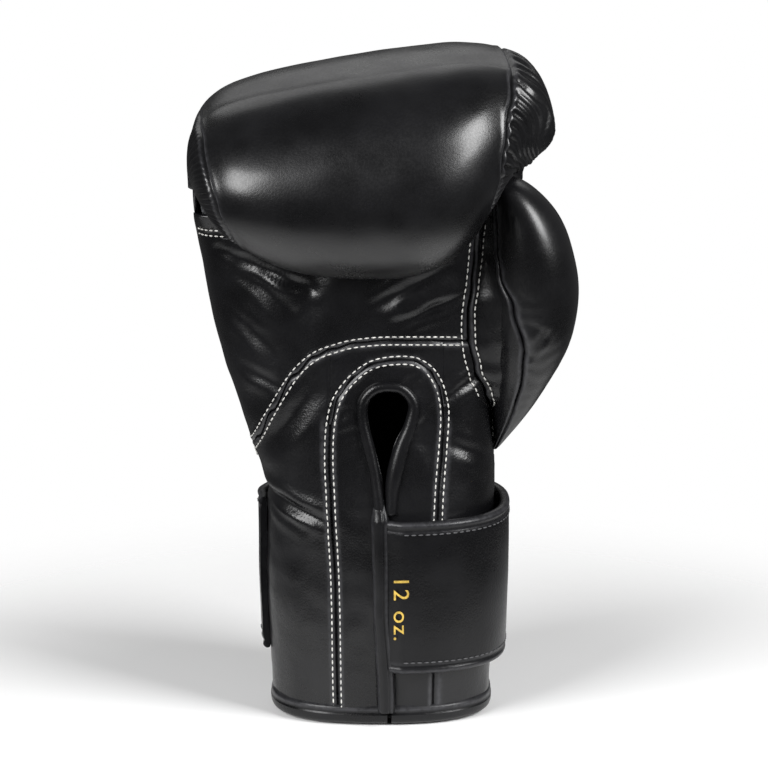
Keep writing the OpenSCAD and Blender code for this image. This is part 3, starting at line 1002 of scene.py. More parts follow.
def palm_turn(f, a, z, depth=0.0):
    """The palm's point at a polar angle and a height."""
    u = z - f.curl_z
    side = 1 if a < 90 else 0
    c, s = unit_oval(a, f.squareness(u, side))
    reach = (f.right(u) if side else f.left(u)) - depth
    seam = f.seam(u) - f.curl_y
    p = f.lean(reach * c, seam - (f.palm_reach(u) - depth + seam) * s, z)
    return Vector(f.press(f.slim(*p)))


def palm_normal(f, x, z):
    a, b = f.palm(x + 0.4, z) - f.palm(x - 0.4, z), f.palm(x, z + 0.4) - f.palm(x, z - 0.4)
    return a.cross(b).normalized()


def palm_relief(p):
    """Soft unevenness and folds that every palm panel shares."""
    h = 1.15 * ripple(p.x * 1.5, p.y, p.z * 0.7, 30, 3.0) + 0.3 * ripple(p.x, p.y, p.z, 10, 7.0)
    return h + sum(crease(p, *fold) for fold in FOLDS)


class Panel:
    """A palm panel between two sides and two levels; each is a function."""

    def __init__(self, f, turn_a, turn_b, low, high, gap=0.25):
        self.f, self.gap = f, gap
        self.turn_a, self.turn_b, self.low, self.high = turn_a, turn_b, low, high

    def spot(self, s, t):
        f = self.f
        z = 150.0
        for _ in range(16):
            a = mix(self.turn_a(z), self.turn_b(z), s)
            x = palm_turn(f, a, z).x
            z = mix(z, mix(self.low(x), self.high(x), t), 0.5)
        return a, z

    def place(self, s, t):
        a, z = self.spot(s, t)
        return palm_turn(self.f, a, z)


def panel_relief(sides, levels, across, tall, until=None):
    """Relief of a panel: sides and levels say which edges are seams (start, end).

    The sides' seams end above the height until.
    """

    def relief(s, t, p):
        h, worn_and_highlight = palm_relief(p), 0.0
        side_on = 1 - ease((p.z - until) / 6) if until else 1
        for on, d in (
            (sides[0] * side_on, s * across), (sides[1] * side_on, (1 - s) * across),
            (levels[0], t * tall), (levels[1], (1 - t) * tall),
        ):
            if on:
                # The seam's edge lightens the colour: rubbed wear and a painted highlight.
                dip, rub_and_highlight = edge_dip(d)
                h, worn_and_highlight = h + dip * on, max(worn_and_highlight, rub_and_highlight * on)
        return h, worn_and_highlight

    return relief


class GLOVE_OT_palm(bpy.types.Operator):
    """Adds the palm's leather panels and the small gusset under the pinky"""

    bl_idname = "glove.palm"
    bl_label = "Palm Panels"

    def execute(self, context):
        f = form()
        skin = [shelf("palm_leather")]
        edge_left = lambda z: 179.9
        web = lambda z: polar_share(f, min(place_of(WEB, z), f.palm_edge(z, 1) - 0.05), z)
        arc = lambda x: level_of(ARC, x)
        low = lambda x: 5.0
        top = lambda x: f.curl_z - 18.9
        upper = Panel(f, edge_left, web, arc, top)
        obj = sheet_piece(
            "Upper_Palm", (64, 110), upper.place, f.skin, skin, "glove",
            relief=panel_relief((False, True), (True, False), 140, 75),
        )
        self.declare(obj, "upper_palm_panel")

        left_in = lambda z: polar_share(f, place_on(FACING, min(z, 134), -1), z)
        pinky = Panel(f, edge_left, left_in, low, arc)
        obj = sheet_piece(
            "Pinky_Wrist_Panel", (110, 46), pinky.place, f.skin, skin, "glove",
            relief=panel_relief((False, True), (False, True), 50, 150, 136),
        )
        self.declare(obj, "pinky_wrist_panel")

        right_in = lambda z: polar_share(f, place_on(FACING, min(z, 134), 1), z)
        thumb = Panel(f, right_in, web, low, arc)
        obj = sheet_piece(
            "Thumb_Wrist_Panel", (110, 40), thumb.place, f.skin, skin, "glove",
            relief=panel_relief((True, False), (False, True), 34, 150, 136),
        )
        self.declare(obj, "thumb_wrist_panel")
        self.facing(f, skin)
        self.arch(f, skin)
        self.gusset(f)
        return {"FINISHED"}

    def declare(self, obj, *nodes):
        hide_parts(*nodes)

    def facing(self, f, skin):
        """The U-shaped facing round the slit, from the slit's edge out to its seam."""
        inner, outer = smooth_path(wide(SLIT), 161), smooth_path(wide(FACING), 161)

        def place(s, t):
            k = int(round(t * 160))
            p = inner[k].lerp(outer[k], s)
            return palm_turn(f, polar_share(f, p.x, p.z), p.z)

        def relief(s, t, p):
            dip, rub_and_highlight = edge_dip((1 - s) * 20)
            near = bell(hypot(p.x - 3, p.z - 146), 26) * ease((p.z - 104) / 16)
            fan = atan2(p.z - 132, p.x - 3) * 3.4 + 1.2 * ripple(p.x, p.y, p.z, 12, 5.0)
            pull = abs(sin(fan * 1.6)) ** 0.8 - 0.6
            h = palm_relief(p) + dip - 1.5 * near * pull * ease(s * 3)
            h += 0.9 * near * ripple(p.x, 0, p.z, 6, 1.0)
            return h - 0.5 * (1 - ease(s * 4)), rub_and_highlight

        obj = sheet_piece(
            "Slit_Facing", (160, 26), place, f.skin, skin, "glove", relief=relief
        )
        self.declare(obj, "slit_facing")

    def arch(self, f, skin):
        """The leather between the facing's round top and the arc seam over it."""

        def place(s, t):
            x = mix(-22.4, 27.6, s)
            z = mix(arch_level(x), level_of(ARC, x), t)
            return palm_turn(f, polar_share(f, x, z), z)

        def relief(s, t, p):
            tall = max(3.0, level_of(ARC, p.x) - arch_level(p.x))
            low, rub_and_highlight_a = edge_dip(t * tall)
            high, rub_and_highlight_b = edge_dip((1 - t) * tall)
            return palm_relief(p) + low + high, max(rub_and_highlight_a, rub_and_highlight_b)

        obj = sheet_piece("Wrist_Panel_Top", (30, 60), place, f.skin, skin, "glove", relief=relief)

    def gusset(self, f):
        lo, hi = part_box("pinky_gusset")
        foot = lo.z / MM + 10.5

        def place(s, t):
            low = foot + 1.8 * s
            z = mix(low, hi.z / MM + 1, t)
            x = mix(-f.left(z - f.curl_z) + 1.0, mix(-62, -56, t), s)
            p = palm_turn(f, polar_share(f, x, z), z)
            return Vector((p.x, p.y - 0.5 - 2.2 * ease(t) * (1 - s * s), p.z))

        def relief(s, t, p):
            dip, rub_and_highlight = edge_dip(t * 20, 1.3, 0.7)
            return dip + 0.3 * ripple(p.x, p.y, p.z, 8), rub_and_highlight

        obj = sheet_piece(
            "Pinky_Gusset", (30, 20), place, f.skin, [shelf("palm_leather")], "glove", relief=relief
        )
        self.declare(obj, "pinky_gusset")


def wide(line):
    """Points of (x, z) as vectors."""
    return [Vector((x, 0, z)) for x, z in line]


def place_on(line, z, side):
    """Distance across of a closed-topped line at a height, on its left (-1) or right side."""
    half = [p for p in line if (p[0] - 3) * side >= 0]
    top = max(p[1] for p in half)
    return through(sorted((p[1], p[0]) for p in half), min(z, top))[0]


def arch_level(x):
    """Height of the facing's seam over its round top."""
    top = sorted(p for p in FACING if p[1] > 134)
    return through(top, x)[0]


# ---- Slit, hem and inner pieces ---------------------------------------------


class GLOVE_OT_edges(bpy.types.Operator):
    """Adds the slit's piping, the flap's binding with the strap's root, and the hem"""

    bl_idname = "glove.edges"
    bl_label = "Piping and Bindings"

    def execute(self, context):
        f = form()
        skin = [shelf("binding_leather")]
        path = smooth_path(wide(PIPING), 120)
        cord = [f.palm(p.x, p.z, 0.2) for p in path]
        bm = tube(cord, lambda t: 2.45 + 0.1 * sin(t * 31) + 1.2 * bell(t - 0.82, 0.12), 16)
        piping = new_object("Slit_Piping", bm, skin, "glove")
        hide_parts("slit_piping")

        def flap(s, t):
            z = mix(6.5, 104, t)
            m = 2 * s - 1
            half = mix(4.1, 2.6, ease((z - 94) / 10))
            x = through(((6, 2.4), (56, 0.5), (96, -0.4), (104, -1.0)), z)[0] + m * half
            high = 5.6 * (1 - abs(m) ** 2.4) ** 0.5 * (1 - 0.75 * ease((z - 94) / 9))
            return f.cuff(f.angle_at(x), z, high - 0.5)

        def flap_relief(s, t, p):
            line = 0.66 + 0.05 * sin(t * 9)
            h = 0.25 * ripple(p.x, p.y, p.z, 10) - 0.7 * bell((s - line) * 9, 0.55)
            # The second value is rubbed wear with a painted highlight beside the binding's groove and along
            # its edge.
            return h, 0.4 * bell((s - line) * 9 - 0.9, 0.6) + 0.5 * bell((s - 0.1) * 9, 0.7)

        binding = sheet_piece(
            "Flap_Binding", (90, 22), flap, 0.8, skin, "glove", relief=flap_relief
        )
        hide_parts("flap_edge_binding", "strap_root_tab")

        first, last = f.angle_at(4.7), 360 + f.angle_at(2.8)

        def hem(s, t):
            around = 2 * pi * t
            c, d = unit_oval(degrees(around), 3.2)
            return f.cuff(mix(first, last, s), 4.6 + 4.4 * d, -3.0 + 4.4 * c)

        def hem_relief(s, t, p):
            outer = bell((t - 0.04) * 30, 1.0)
            h = 0.2 * ripple(p.x, p.y, p.z, 12) - 0.55 * outer
            # The second value is rubbed wear with a painted highlight along the hem's rolled edge.
            return h, 0.7 * bell((t - 0.085) * 30, 0.8) + 0.4 * bell((t - 0.15) * 30, 0.8)

        band = loft("Hem_Binding", (48, 260), hem, skin, "glove", (0, 0, 4), relief=hem_relief)
        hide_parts("hem_binding")
        return {"FINISHED"}


def layer(f, name, node, material, part, span, depth, grid, body="glove"):
    """A closed inner layer of the back or the palm, between two depths of the wall."""
    low, high = span

    def point(s, t, k):
        u = mix(low, high, t)
        wall = f.back_wall(u) if part == "back" else mix(f.wall, 8, f.hand(u))
        edge = f.edge_wall(u)
        at, side = depth[k](wall), depth[k](edge)
        a = mix(0.6, 179.4, s)
        if part == "back":
            return Vector(f.press(f.back(u, a, side, at), 2.0 + side))
        z = f.curl_z + u
        p = palm_turn(f, a, z, at)
        return p

    front = warped_grid(grid[0], grid[1], lambda s, t: point(s, t, 0), inside=(0, 0, 150))
    back = warped_grid(grid[0], grid[1], lambda s, t: point(s, t, 1), inside=(0, 0, 150))
    bmesh.ops.reverse_faces(back, faces=back.faces)
    whole = join([front, back])
    rim = [e for e in whole.edges if e.is_boundary]
    bmesh.ops.bridge_loops(whole, edges=rim)
    obj = new_object(name, whole, [shelf(material)], body)
    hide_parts(node)
    return obj


def share(k):
    """Depth at a share of the wall, under the leather and over the lining."""
    return lambda wall: mix(3.2, max(3.4, wall - 1.6), k)


class GLOVE_OT_padding(bpy.types.Operator):
    """Adds the foam layers of the fist, the palm and the cuff"""

    bl_idname = "glove.padding"
    bl_label = "Foam Padding"

    def execute(self, context):
        f = form()
        wrist, low = f.cuff_h + 20 - f.curl_z, f.hem_h + 2 - f.curl_z
        bands = (("outer", 0.0, 0.33), ("middle", 0.34, 0.66), ("inner", 0.67, 1.0))
        for band, a, b in bands:
            obj = layer(
                f, "Knuckle_Foam_" + band.title(), "knuckle_foam_" + band, "padding_foam",
                "back", (wrist, f.curl_end - 22), (share(a), share(b)), (70, 44),
            )
        flat = (share(0.0), share(1.0))
        back = layer(
            f, "Cuff_Foam_Back", "cuff_foam_back", "padding_foam", "back", (low, wrist - 1),
            flat, (20, 40),
        )
        self.palm_side(f)
        return {"FINISHED"}

    def palm_side(self, f):
        eye = f.eye_z + 13
        pads = (
            ("Palm_Foam", "palm_foam", lambda z: 178.5, lambda z: self.web(f, z), eye, 228),
            ("Cuff_Foam_Pinky", "cuff_foam_pinky", lambda z: 178.5,
             lambda z: polar_share(f, place_on(PIPING, z, -1) - 3, z), 10, eye - 1),
            ("Cuff_Foam_Thumb", "cuff_foam_thumb",
             lambda z: polar_share(f, place_on(PIPING, z, 1) + 3, z),
             lambda z: self.web(f, z), 10, eye - 1),
        )
        for name, node, one, two, low, high in pads:
            front, back = (
                warped_grid(
                    30, 20, lambda s, t: palm_turn(
                        f, mix(one(mix(low, high, t)), two(mix(low, high, t)), s),
                        mix(low, high, t), depth),
                    inside=(0, 0, 150),
                )
                for depth in (3.2, 5.6)
            )
            bmesh.ops.reverse_faces(back, faces=back.faces)
            whole = join([front, back])
            bmesh.ops.bridge_loops(whole, edges=[e for e in whole.edges if e.is_boundary])
            obj = new_object(name, whole, [shelf("padding_foam")], "glove")
            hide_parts(node)

    def web(self, f, z):
        return polar_share(f, min(place_of(WEB, z), f.palm_edge(z, 1) - 0.5) - 2, z)


def cut_sheet(bm_area, length):
    """Works out the width of a lining's cut strip from its area and the given length, and does nothing more
    with it.
    """
    width = bm_area / length * 1.12


class GLOVE_OT_linings(bpy.types.Operator):
    """Adds the cloth linings of the hand's pocket"""

    bl_idname = "glove.linings"
    bl_label = "Linings"

    def execute(self, context):
        f = form()
        cloth_slot = [shelf("lining_cloth")]
        low, high = f.hem_h - f.curl_z, f.curl_end

        def back(s, t):
            u = mix(low, high, t)
            w, r = f.edge_wall(u) - 0.6, f.back_wall(u) - 0.6
            return f.press(f.back(u, mix(0.8, 179.2, s), w, r), 8.5)

        def palm(s, t):
            z = mix(f.hem_h, f.curl_z - 19, t)
            half = clamp((z - 98) / 30)
            return palm_turn(f, mix(178, 4 + 30 * half, s), z, 7.2)

        def shape(s, t, p):
            return 0.35 * ripple(p.x, p.y, p.z, 14), 0.0

        jobs = (
            ("Back_Lining", "back_lining", back, (90, 60), 0.52),
            ("Palm_Lining", "palm_lining", palm, (60, 60), 0.22),
        )
        for name, node, place, grid, length in jobs:
            bm = warped_grid(grid[0], grid[1], place, relief=shape, inside=(0, 0, 150))
            if node == "palm_lining":
                self.open_slit(f, bm)
            area = sum(face.calc_area() for face in bm.faces)
            bm.normal_update()
            thicken(bm, 0.6 * MM)
            obj = new_object(name, bm, cloth_slot, "glove")
            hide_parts(node)
            cut_sheet(area, length)
        return {"FINISHED"}

    def open_slit(self, f, bm):
        """Takes the lining away behind the slit's opening."""
        gone = []
        for face in bm.faces:
            p = face.calc_center_median() / MM
            if p.z < 152 and place_on(PIPING, p.z, -1) - 2 < p.x < place_on(PIPING, p.z, 1) + 2:
                gone.append(face)
        bmesh.ops.delete(bm, geom=gone, context="FACES")


class GLOVE_OT_bar(bpy.types.Operator):
    """Finishes the grip bar and its cover, whose shape is as built"""

    bl_idname = "glove.bar"
    bl_label = "Grip Bar"

    def execute(self, context):
        finish = {"foam": "padding_foam", "lining_fabric": "lining_cloth"}
        for node, key in (("grip_bar", "foam"), ("grip_bar_cover", "lining_fabric")):
            lo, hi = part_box(node)
            f = form()
            ends = Vector((lo.x, (lo.y + hi.y) / 2, lo.z + f.bar_r * MM)) / MM, Vector(
                (hi.x, (lo.y + hi.y) / 2, hi.z - f.bar_r * MM)
            ) / MM
            radius = (hi.y - lo.y) / 2 / MM
            path = [ends[0].lerp(ends[1], i / 24) for i in range(25)]
            grip = 0.0 if node == "grip_bar" else 0.12
            bm = tube(path, lambda t: radius - 0.1 - 1.2 * (2 * abs(t - 0.5)) ** 12 - grip * sin(t * 90), 28)
            obj = new_object(node.title(), bm, [shelf(finish[key])], "glove")
            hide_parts(node)
        return {"FINISHED"}


# ---- Thumb ------------------------------------------------------------------


THUMB_FRONT = (
    (118, 272), (130, 271), (150, 268), (169, 260), (190, 240), (205, 217), (215, 208),
    (246, 200),
)
THUMB_BACK = ((118, 100), (150, 118), (190, 128), (246, 135))


class Thumb:
    """Where the thumb's leather runs: the pad goes round the outside, the panel faces the hand."""

    def __init__(self, f, depth=0.0):
        self.f, self.depth = f, depth
        self.low, self.high = f.thumb_root + 2 + depth, f.thumb_top - depth

    def level(self, t):
        return mix(self.low, self.high, (1 - cos(pi * t)) / 2)

    def at(self, z, angle):
        cx, cy, hw, hd = self.f.thumb_oval(min(z, self.f.thumb_top - 0.02), -self.depth)
        c, s = unit_oval(angle, 2.2)
        return Vector((cx + hw * c, cy + hd * s, z))

    def pad(self, s, t):
        z = self.level(t)
        front, back = through(THUMB_FRONT, z)[0], through(THUMB_BACK, z)[0]
        return self.at(z, mix(front - 360, back, s))

    def panel(self, s, t):
        z = self.level(t)
        front, back = through(THUMB_FRONT, z)[0], through(THUMB_BACK, z)[0]
        return self.at(z, mix(back, front, s))


class GLOVE_OT_thumb(bpy.types.Operator):
    """Adds the thumb's two leathers, its foam and its lining"""

    bl_idname = "glove.thumb"
    bl_label = "Thumb"

    def execute(self, context):
        f = form()
        thumb = Thumb(f)

        def crown(s, t, p):
            girth = 60 * sin(pi * clamp(t * 0.9 + 0.05))
            near = min(s, 1 - s) * girth
            dip, rub_and_highlight = edge_dip(near, 1.0, 0.9)
            h = dip + 0.5 * ease(near / 12) + 0.4 * ripple(p.x, p.y, p.z, 20, 1.0)
            ends = min(t, 1 - t)
            for i in range(4):
                x, z = 62 + 3.2 * i, 168 + 2.2 * i
                h += crease(p, (x - 3, z - 6), (x + 3, z + 7), 1.0, 0.6)
            pull = abs(sin(pi * (p.z / 7.5 + ripple(p.x, p.y, p.z, 15, 2.0)))) ** 0.8 - 0.6
            h += 0.9 * pull * ease(near / 3) * exp(-near / 9) * bell(p.z - 168, 26)
            return h * ease(ends * 14), rub_and_highlight * ease(ends * 14)

        def calm(s, t, p):
            girth = 50 * sin(pi * clamp(t * 0.9 + 0.05))
            dip, rub_and_highlight = edge_dip(min(s, 1 - s) * girth, 1.0, 0.9)
            ends = ease(min(t, 1 - t) * 14)
            return (dip + 0.4 * ripple(p.x, p.y, p.z, 16)) * ends, rub_and_highlight * ends

        skin = [shelf("fist_leather")]
        outer = sheet_piece(
            "Thumb_Pad", (120, 90), thumb.pad, f.skin, skin, "thumb", (67, -15, 190), crown
        )
        inner = sheet_piece(
            "Thumb_Panel", (90, 50), thumb.panel, f.skin, [shelf("palm_leather")], "thumb",
            (67, -15, 190), calm,
        )
        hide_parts("thumb_outer_panel")
        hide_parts("thumb_inner_panel")
        foam_piece = self.shell(f, "Thumb_Foam", 3.0, 6.0, "padding_foam")
        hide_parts("thumb_foam")
        lining_piece = self.shell(f, "Thumb_Lining", 6.4, 7.2, "lining_cloth")
        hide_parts("thumb_lining")
        area = sum(face.area for face in lining_piece.data.polygons) / 2
        cut_sheet(area, 0.11)
        return {"FINISHED"}

    def shell(self, f, name, outer, inner, material):
        """A hollow layer of the thumb, open where the fingers' pocket meets it."""
        skins = []
        for depth in (outer, inner):
            layer_form = Thumb(f, depth)
            bm = warped_grid(
                40, 36,
                lambda s, t: layer_form.at(layer_form.level(mix(0.1, 1, t)), 360 * s),
                closed=True, inside=(67, -15, 190),
            )
            skins.append(bm)
        bmesh.ops.reverse_faces(skins[1], faces=skins[1].faces)
        whole = join(skins)
        whole.faces.ensure_lookup_table()
        centre = Vector((50, -8, 160)) * MM
        gone = [
            face for face in whole.faces
            if (face.calc_center_median() - centre).length < 13 * MM
        ]
        bmesh.ops.delete(whole, geom=gone, context="FACES")
        rim = [e for e in whole.edges if e.is_boundary]
        bmesh.ops.bridge_loops(whole, edges=rim)
        return new_object(name, whole, [shelf(material)], "thumb")


def web_point(f, thumb, s, z):
    """A point of the web, from the palm's seam to the seam at the thumb's front."""
    x = min(place_of(WEB, z), f.palm_edge(z, 1) - 0.05)
    a = palm_turn(f, polar_share(f, x, z), z)
    b = thumb.at(z, through(THUMB_FRONT, z)[0] - 3)
    sag = Vector((0, 2.6 * sin(pi * s) * ease((z - 140) / 30), 0))
    return a.lerp(b, s) + sag


class GLOVE_OT_web(bpy.types.Operator):
    """Adds the web between palm and thumb, and the tether at the thumb's tip"""

    bl_idname = "glove.web"
    bl_label = "Thumb Web and Tether"

    def execute(self, context):
        f = form()
        thumb = Thumb(f, 0.5)
        low, high = 121.0, 229.0

        def place(s, t):
            return web_point(f, thumb, s, mix(low, high, t))

        def relief(s, t, p):
            wide_mm = 22
            dip, rub_and_highlight = edge_dip(s * wide_mm, 1.2, 1.1)
            folds = 0.5 * ripple(p.x, p.y, p.z, 8, 6.0)
            return dip + folds * sin(pi * s), rub_and_highlight

        obj = sheet_piece(
            "Thumb_Web", (110, 24), place, 1.2, [shelf("palm_leather")], None, relief=relief
        )
        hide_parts("thumb_web_panel")
        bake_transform(obj)

        top = thumb.at(f.thumb_top - 3, 235)
        ends = [top + Vector((-1, -1, 0)), top + Vector((-3.0, -5.5, 7)),
                top + Vector((-7, -8.5, 15))]
        run = smooth_path(ends, 24)

        def tether(s, t):
            p = run[int(round(t * 23))]
            c, d = unit_oval(360 * s, 3.0)
            side, out = Vector((0.78, -0.5, 0.1)), Vector((0.45, 0.85, 0))
            return p + side * (3.6 * c) + out * (0.9 * d)

        strap = loft("Thumb_Tether", (23, 28), tether, [shelf("binding_leather")], None, top)
        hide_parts("thumb_tether")
        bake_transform(strap)
        return {"FINISHED"}


# ---- Strap ------------------------------------------------------------------


class Strap:
    """The wrap strap's outline: flat with a rolled piping along both edges."""

    def __init__(self, f):
        self.f = f
        self.middle = (f.strap_low + f.strap_top) / 2
        self.half = (f.strap_top - f.strap_low) / 2
        self.start = f.angle_at(1.5)

    def profile(self, k, slack=1.0):
        """Height and stand-off at a share of the way round the section."""
        outer = k < 0.5
        m = 4 * k - 1 if outer else 3 - 4 * k
        across = self.half * sin(pi / 2 * m)
        e = self.half - abs(across)
        f = self.f
        edge = sqrt(max(0.0, 1 - (1 - min(e, 1.9) / 1.9) ** 2))
        thick = f.strap_t * mix(0.75, 1, slack)
        mid = f.strap_gap * slack + 0.2 + thick / 2
        if outer:
            high = mid + thick / 2 * edge
            high += 0.35 * bell(e - 1.8, 1.2) - 0.75 * bell(e - 3.9, 0.7)
        else:
            high = mid - thick / 2 * edge
        return self.middle + across, high

    def at(self, angle, k):
        z, high = self.profile(k, 1 - 0.85 * ease((angle - 517) / 18))
        tuck = 1 - ease((angle - self.start) / 9)
        return self.f.cuff(angle % 360, z, high - 3.0 * tuck)

    def relief(self, s, t, p):
        k = t
        if k >= 0.5:
            return 0.0, 0.0
        e = self.half - abs(self.half * sin(pi / 2 * (4 * k - 1)))
        h = 0.35 * ripple(p.x, p.y, p.z, 22, 8.0) * ease(e / 6)
        # The second value is rubbed wear with a painted highlight: along the piping and beside the stitch
        # row.
        return h, 0.75 * bell(e - 1.2, 0.9) + 0.3 * bell(e - 4.8, 0.7)


class GLOVE_OT_strap(bpy.types.Operator):
    """Adds the wrap strap with its linings, fastener patches and woven panel"""

    bl_idname = "glove.strap"
    bl_label = "Wrap Strap"

    def execute(self, context):
        f = form()
        strap = Strap(f)
        parts = (
            ("Strap_Root", strap.start, 346, 110,
             ("front_strap_leather", "front_strap_foam", "front_strap_binding")),
            ("Strap_Bend", 345.9, 391, 50, ()),
            ("Strap_Tail", 390.9, 543, 150,
             ("tail_strap_leather", "tail_strap_foam", "tail_strap_binding")),
        )
        made = []
        for name, a, b, count, nodes in parts:
            def place(s, t, a=a, b=b):
                return strap.at(mix(a, b, s), t)

            body = "strap_tail" if name == "Strap_Tail" else None
            obj = loft(
                name, (96, count), place, [shelf("strap_leather")], body,
                (0, 0, strap.middle), relief=strap.relief,
            )
            if nodes:
                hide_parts(*nodes)
            made.append(obj)
        root, bend, tail = made
        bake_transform(root)
        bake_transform(bend)
        self.linings(f, strap)
        self.patches(f)
        return {"FINISHED"}

    def band(self, name, f, a, b, low, high, proud, thickness, material, grid=(24, 60), body=None):
        def place(s, t):
            return f.cuff(mix(a, b, s) % 360, mix(low, high, t), proud)

        bm = warped_grid(grid[0], grid[1], place, inside=(0, 0, 60))
        area = sum(face.calc_area() for face in bm.faces)
        bm.normal_update()
        thicken(bm, thickness * MM)
        return new_object(name, bm, [shelf(material)], body), area

    def linings(self, f, strap):
        low, high = f.strap_low + 2.5, f.strap_top - 2.5
        wide_m = (high - low) * MM
        start = f.angle_at(16)
        for name, node, a, b, body in (
            ("Front_Strap_Lining", "front_strap_lining", start, 330, "strap_front"),
            ("Tail_Strap_Lining", "tail_strap_lining", 32, 177, "strap_tail"),
        ):
            obj, area = self.band(
                name, f, a, b, low, high, f.strap_gap - 0.02, 0.4, "lining_cloth", body=body
            )
            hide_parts(node)
            area / wide_m

    def patches(self, f):
        for name, node, a, b, proud, thick, body in (
            ("Hook_Patch", "hook_patch", 107, 152, f.strap_gap - 0.5, 0.9, "strap_tail"),
            ("Loop_Patch", "loop_patch", 84.5, 157, 1.0, 1.2, "glove"),
        ):
            lo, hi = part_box(node)
            obj, area = self.band(
                name, f, a, b, lo.z / MM, hi.z / MM, proud, thick, "hook_pile", body=body
            )
            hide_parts(node)
            long = area / (hi.z - lo.z)
            long * 1.01
        lo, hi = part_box("woven_panel")
        obj, area = self.band(
            "Woven_Panel", f, 67.5, 112.5, lo.z / MM, hi.z / MM, f.strap_gap + f.strap_t + 0.45,
            0.6, "brocade", (60, 60), "strap_tail",
        )
        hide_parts("woven_panel")
        long = area / (hi.z - lo.z)
        long * 1.01


# ---- Seams and print --------------------------------------------------------


def shifted(line, off):
    """A seam line of (x, z) moved sideways, to the left of its run."""
    path = smooth_path(wide(line), 90)
    moved = []
    for i, p in enumerate(path):
        run = (path[min(i + 1, 89)] - path[max(i - 1, 0)]).normalized()
        moved.append(Vector((p.x - run.z * off, 0, p.z + run.x * off)))
    return moved


class GLOVE_OT_seams(bpy.types.Operator):
    """Adds the rows of sewing thread"""

    bl_idname = "glove.seams"
    bl_label = "Sewing Thread"

    def execute(self, context):
        f = form()
        half = f.row_gap / 2
        rows = []
        for line in (ARC, FACING):
            for off in (-half, half):
                points = [
                    p for p in shifted(line, off)
                    if line is FACING or p.x < place_of(WEB, p.z) - 3.2
                ]
                if line is FACING:
                    points = [p for p in points if p.x < 10 or p.z > f.strap_top - 6]
                rows.append([self.on_palm(f, p) for p in points])
        left = [p for p in shifted(WEB, -half - 0.9) if p.z > 146]
        rows.append([self.on_palm(f, p) for p in left])
        white = [shelf("white_thread")]
        bm = stitches(rows, f.stitch, f.stitch_r, lambda p: palm_normal(f, p.x, p.z))
        new_object("Palm_Stitches", bm, white, "glove")
        self.web_row(f, white)
        self.gusset_rows(f, white)
        self.strap_row(f)
        return {"FINISHED"}

    def on_palm(self, f, p):
        q = palm_turn(f, polar_share(f, p.x, p.z), p.z)
        lift = palm_relief(q) + 0.12
        return q + palm_normal(f, p.x, p.z) * lift

    def web_row(self, f, white):
        thumb = Thumb(f, 0.5)
        path = []
        for i in range(60):
            z = mix(124, 226, i / 59)
            long = (web_point(f, thumb, 1, z) - web_point(f, thumb, 0, z)).length
            s = min(0.5, 3.6 / max(long, 1))
            path.append(web_point(f, thumb, s, z) + Vector((-0.2, -0.75, 0)))
        bm = stitches([path], f.stitch, f.stitch_r, lambda p: Vector((0.1, -1, 0)).normalized())
        obj = new_object("Web_Stitches", bm, white, None)
        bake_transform(obj)

    def gusset_rows(self, f, white):
        lo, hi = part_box("pinky_gusset")
        rows = []
        for drop in (0.0, 3.2):
            path = []
            for i in range(16):
                z = lo.z / MM + 16.4 - drop + 0.12 * i
                x = mix(0.8 - f.left(z - f.curl_z), -60, i / 15)
                q = palm_turn(f, polar_share(f, x, z), z)
                path.append(Vector((q.x, q.y - 1.3 - 0.7 * (1 - drop / 3.2), q.z)))
            rows.append(path)
        bm = stitches(rows, f.stitch * 0.9, f.stitch_r, lambda p: Vector((-0.2, -1, 0.1)).normalized())
        new_object("Gusset_Stitches", bm, white, "glove")

    def above(self, f, strap, angle, k):
        """A point of the strap's face, lifted by the thread."""
        p = strap.at(angle, k)
        return p + Vector((p.x, p.y * 1.5, 0)).normalized() * 0.15

    def strap_row(self, f):
        """A row along the inner side of each piping."""
        strap = Strap(f)
        across = 1 - 5.6 / strap.half
        share = (atan2(across, sqrt(1 - across * across)) / (pi / 2) + 1) / 4
        grey = [shelf("grey_thread")]
        for name, a, b, blend in (
            ("Strap_Root_Stitches", f.angle_at(8.5), 345.8, "root"),
            ("Strap_Bend_Stitches", 346, 390.8, "bend"),
            ("Strap_Tail_Stitches", 391, 539, None),
        ):
            rows = []
            for k in (0.5 - share, share):
                rows.append([self.above(f, strap, mix(a, b, i / 80), k) for i in range(81)])

            def outward(p):
                out = Vector((p.x, p.y * 1.5, 0))
                return out.normalized()

            bm = stitches(rows, f.stitch, f.stitch_r, outward)
            obj = new_object(name, bm, grey, None if blend else "strap_tail")
            if blend == "root":
                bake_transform(obj)
            if blend == "bend":
                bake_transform(obj)


class GLOVE_OT_weight(bpy.types.Operator):
    """Adds the printed weight, which reads down the strap beside the slit"""

    bl_idname = "glove.weight"
    bl_label = "Printed Weight"

    def execute(self, context):
        f = form()
        curve = bpy.data.curves.new("Weight", "FONT")
        curve.body = "12 oz."
        curve.size = 1.0
        curve.extrude = 0.012
        curve.resolution_u = 6
        curve.space_character = 1.12
        holder = bpy.data.objects.new("Weight_Curve", curve)
        context.scene.collection.objects.link(holder)
        context.view_layer.update()
        mesh = bpy.data.meshes.new_from_object(holder)
        bpy.data.objects.remove(holder)
        bm = bmesh.new()
        bm.from_mesh(mesh)
        bpy.data.meshes.remove(mesh)
        wide_x = max(v.co.x for v in bm.verts)
        least = min(v.co.x for v in bm.verts)
        tall = max(v.co.y for v in bm.verts)
        for v in bm.verts:
            x = mix(5.6, 12.3, v.co.y / tall)
            z = mix(68.8, 41.4, (v.co.x - least) / (wide_x - least))
            proud = f.strap_gap + f.strap_t + 0.16 + 0.12 * (v.co.z > 0)
            k = f.slim(1, 0, z)[0] * (1 + proud / f.cuff_half_w)
            v.co = f.cuff(f.angle_at(x / k), z, proud) * MM
        bmesh.ops.recalc_face_normals(bm, faces=bm.faces)
        obj = new_object("Printed_Weight", bm, [shelf("gold_print")], None, smooth=False)
        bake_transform(obj)
        return {"FINISHED"}


# ---- Stage ------------------------------------------------------------------


